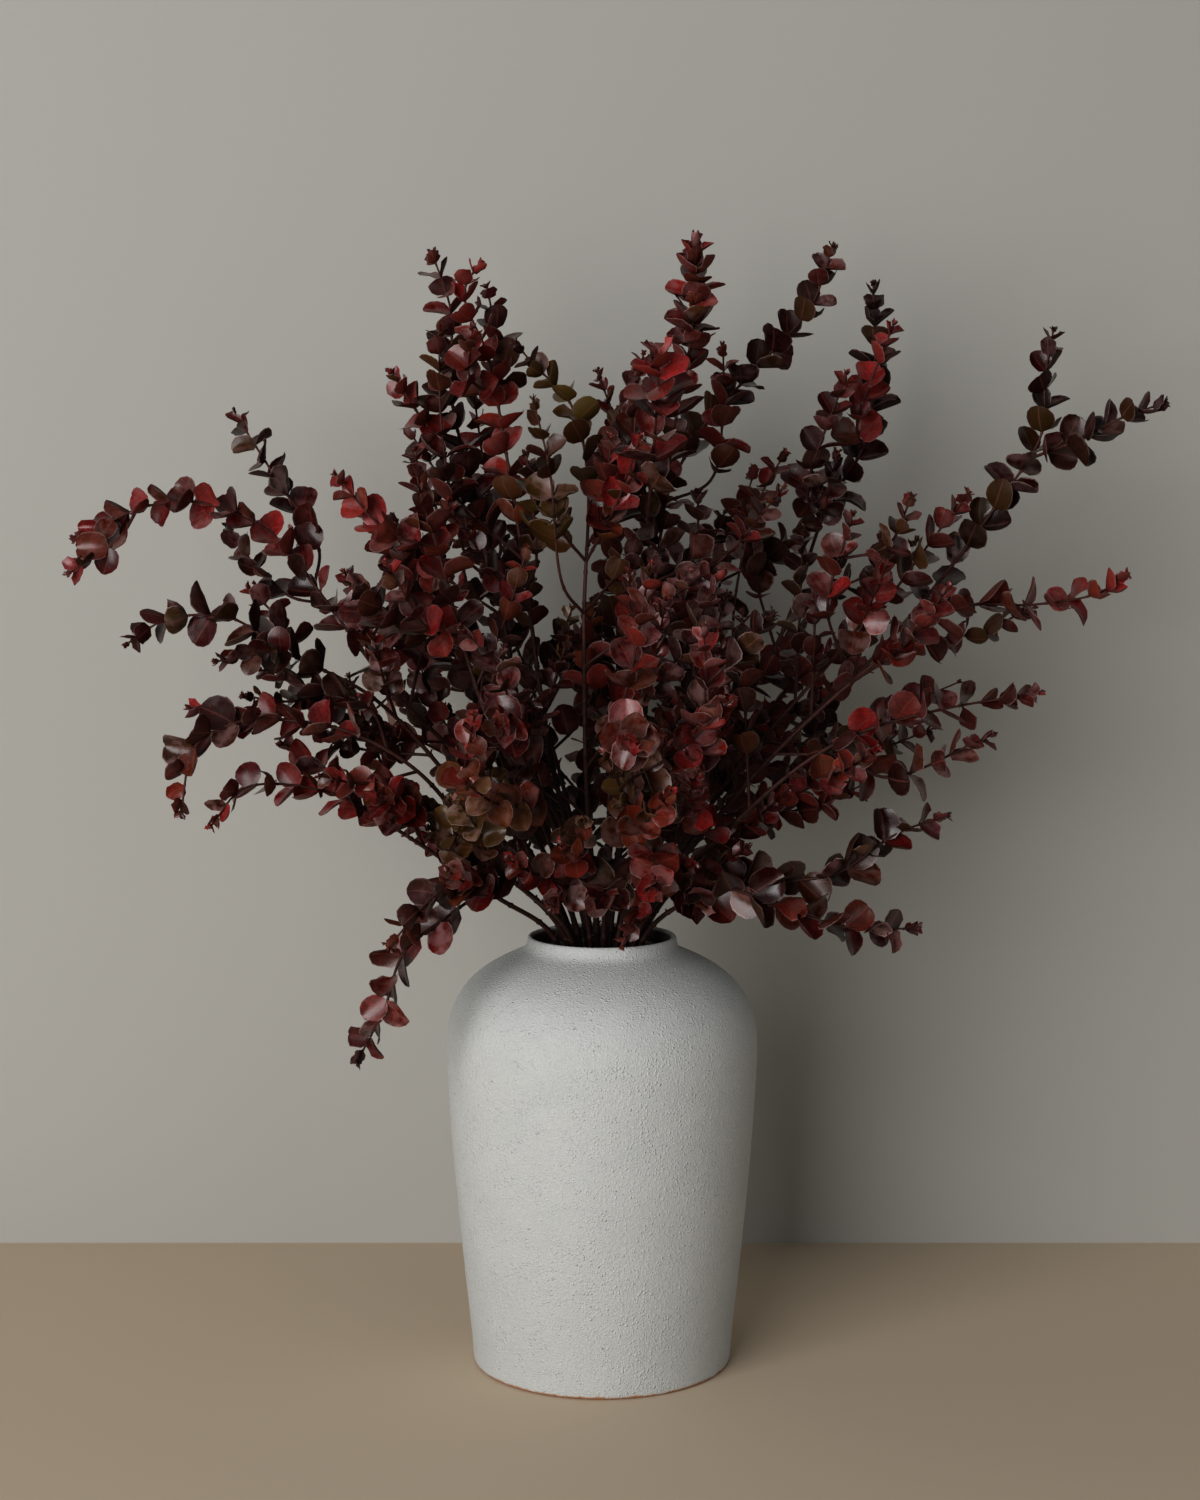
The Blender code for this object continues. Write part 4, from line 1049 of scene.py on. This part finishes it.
def stucco():
    """Unglazed white stoneware under a sprayed stucco coat: matt, pebbled, with a bare clay foot."""
    made, tree, shader = new_material("white_stucco_stoneware")
    spot = node(tree, "TexCoord").outputs["Object"]
    height = node(tree, "SeparateXYZ", {"Vector": spot}).outputs["Z"]
    # Hardly seen clouds of colour about 30 mm across.
    cloud = node(tree, "TexNoise", {"Vector": spot, "Scale": 34, "Detail": 3})
    ramp = node(tree, "ValToRGB", {"Fac": cloud.outputs["Fac"]})
    white = colour_stops(ramp, [(0.3, "#ced0ce"), (0.7, "#d4d5d3")])
    # The sprayed coat: sand of 1.3 mm and finer, with drops about 2 and 1 mm across on it, each
    # of its own height, thicker in patches 15 mm wide.
    sand = node(tree, "TexNoise", {"Vector": spot, "Scale": 760, "Detail": 3, "Roughness": 0.65})
    patch = node(tree, "TexNoise", {"Vector": spot, "Scale": 65, "Detail": 2})
    thick = node(tree, "MapRange", {"Value": patch.outputs["Fac"], "From Min": 0.35, "From Max": 0.65,
                                    "To Min": 0.45, "To Max": 1.0})
    coat = node(tree, "Math", {0: sand.outputs["Fac"], 1: 0.8}, operation="MULTIPLY")
    for scale, share in ((420, 0.9), (800, 0.5)):
        drops = node(tree, "TexVoronoi", {"Vector": spot, "Scale": scale})
        own = node(tree, "SeparateColor", {"Color": drops.outputs["Color"]})
        drop = node(tree, "MapRange", {"Value": drops.outputs["Distance"], "From Min": 0.1,
                                       "From Max": 0.45, "To Min": share, "To Max": 0.0},
                    interpolation_type="SMOOTHSTEP")
        high = node(tree, "Math", {0: drop.outputs[0], 1: own.outputs["Red"]}, operation="MULTIPLY")
        coat = node(tree, "Math", {0: high.outputs[0], 1: thick.outputs[0], 2: coat.outputs[0]},
                    operation="MULTIPLY_ADD")
    # Painted shade: the hollows between the drops are darkened and their tops left lighter, so that the
    # drops look lit.
    painted_hollow_shade = node(tree, "MapRange", {"Value": coat.outputs[0], "From Min": 0.3, "From Max": 1.0,
                                   "To Min": 0.4, "To Max": 0.0})
    hollow_shaded = node(tree, "Mix", {0: painted_hollow_shade.outputs[0], 6: white, 7: linear("#8f908f")}, data_type="RGBA")
    # Pin holes about 1 mm across and 16 mm apart, each darkened with painted shade; the bump below also
    # sinks them.
    cells = node(tree, "TexVoronoi", {"Vector": spot, "Scale": 62})
    pit = node(tree, "MapRange", {"Value": cells.outputs["Distance"], "From Min": 0.02,
                                  "From Max": 0.045, "To Min": 0.45, "To Max": 0.0})
    pit_shaded = node(tree, "Mix", {0: pit.outputs[0], 6: hollow_shaded.outputs[2], 7: linear("#6f6a64")},
                  data_type="RGBA")
    # The lowest 2 mm are bare clay, and the coat ends there in a ragged line.
    ragged = node(tree, "TexNoise", {"Vector": spot, "Scale": 120, "Detail": 3})
    edge = node(tree, "Math", {0: ragged.outputs["Fac"], 1: -0.004, 2: height}, operation="MULTIPLY_ADD")
    bare = node(tree, "MapRange", {"Value": edge.outputs[0], "From Min": -0.0008, "From Max": 0.0006,
                                   "To Min": 1.0, "To Max": 0.0})
    footed = node(tree, "Mix", {0: bare.outputs[0], 6: pit_shaded.outputs[2], 7: linear("#a97a54")},
                  data_type="RGBA")
    # Within 48 mm of the axis, so inside the mouth, it is bare clay, painted much darker as the shade inside
    # the vase.
    flat = node(tree, "VectorMath", {0: spot, 1: (1, 1, 0)}, operation="MULTIPLY")
    out = node(tree, "VectorMath", {0: flat.outputs[0]}, operation="LENGTH")
    inside_shade_mask = node(tree, "MapRange", {"Value": out.outputs["Value"], "From Min": 0.0475,
                                     "From Max": 0.0485, "To Min": 1.0, "To Max": 0.0})
    inside_shaded = node(tree, "Mix", {0: inside_shade_mask.outputs[0], 6: footed.outputs[2], 7: linear("#51463d")},
                 data_type="RGBA")
    holed = node(tree, "Math", {0: pit.outputs[0], 1: -1.2, 2: coat.outputs[0]}, operation="MULTIPLY_ADD")
    bump = node(tree, "Bump", {"Height": holed.outputs[0], "Strength": 1.0, "Distance": 0.001})
    feed(tree, shader, {"Base Color": inside_shaded.outputs[2], "Normal": bump.outputs["Normal"],
                        "Roughness": 0.9, "Specular IOR Level": 0.3})
    return made


def table_paint():
    """Matt, even paint on the table top."""
    made, tree, shader = new_material("plain_table")
    feed(tree, shader, {"Base Color": linear(TABLE_COLOUR), "Roughness": 0.95, "IOR": 1.25})
    return made


def wall_paint():
    """Matt, even paint that is clear from behind, so that the wall hides nothing in other views."""
    made, tree, shader = new_material("plain_wall")
    feed(tree, shader, {"Base Color": linear(WALL_COLOUR), "Roughness": 0.95})
    back = node(tree, "NewGeometry").outputs["Backfacing"]
    clear = node(tree, "BsdfTransparent")
    seen = node(tree, "MixShader", {0: back, 1: shader.outputs[0], 2: clear.outputs[0]})
    feed(tree, tree.nodes["Material Output"], {"Surface": seen.outputs[0]})
    return made


def stage():
    """The table top and the wall behind it."""
    deselect_all()
    bpy.ops.mesh.primitive_plane_add(size=TABLE_SIZE, location=(0, WALL_PLACE - TABLE_SIZE / 2, 0))
    table = bpy.context.object
    table.name = "table_top"
    table.data.materials.append(table_paint())
    deselect_all()
    bpy.ops.mesh.primitive_plane_add(size=WALL_SIZE, location=(0, WALL_PLACE, WALL_MIDDLE),
                                     rotation=(math.radians(90), 0, 0))
    wall = bpy.context.object
    wall.name = "wall"
    wall.data.materials.append(wall_paint())


def camera():
    seen_by = bpy.data.cameras.new("camera")
    seen_by.lens = CAMERA_LENS
    seen_by.sensor_width = CAMERA_SENSOR
    placed = new_object("camera", seen_by)
    placed.location = CAMERA_PLACE
    placed.rotation_euler = (math.radians(90 - CAMERA_PITCH), 0, 0)
    bpy.context.scene.camera = placed


def lamp(name, place, target, size, power):
    """A soft square light that faces its target."""
    light = bpy.data.lights.new(name, "AREA")
    light.size = size
    light.energy = power
    placed = new_object(name, light)
    placed.location = place
    placed.rotation_euler = (Vector(target) - Vector(place)).to_track_quat("-Z", "Y").to_euler()


def daylight():
    """A large window at the front left, a weak lamp at the right, and the room's own light."""
    lamp("window", place=(-1.6, -2.77, 0.95), target=(0, 0, 0.35), size=2.4, power=95)
    lamp("room_fill", place=(1.9, -1.9, 0.7), target=(0, 0, 0.3), size=1.8, power=5)
    world = bpy.data.worlds.new("room")
    world.use_nodes = True
    tree = world.node_tree
    feed(tree, tree.nodes["Background"], {"Color": linear(ROOM_COLOUR), "Strength": ROOM_STRENGTH})
    bpy.context.scene.world = world
    bpy.context.scene.view_settings.view_transform = "Standard"
    bpy.context.scene.view_settings.look = "Medium High Contrast"


def dress(piece, finishes, replaced):
    for finish in finishes:
        piece.data.materials.append(finish)
    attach(piece, "root")
    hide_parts(replaced)


camera()
daylight()
stage()

vase = drawn_vase()
dress(vase, [stucco()], "vase")

bunch = grow()
young_leaf = leaf_pattern("young_leaf", YOUNG_HALF_WIDTHS)
grown_leaf = leaf_pattern("grown_leaf", GROWN_HALF_WIDTHS)
leaf_skins = [leaf_upper(), leaf_under()]
wood_skin = [bark()]
for number, (name, twigs) in enumerate(bunch.items()):
    wood = drawn_wood(f"wood_{name}", number, twigs)
    dress(wood, wood_skin, name)
    leaves = drawn_leaves(f"leaves_{name}", leaf_facts(number, twigs), young_leaf, grown_leaf)
    dress(leaves, leaf_skins, name)
bpy.data.objects.remove(young_leaf)
bpy.data.objects.remove(grown_leaf)
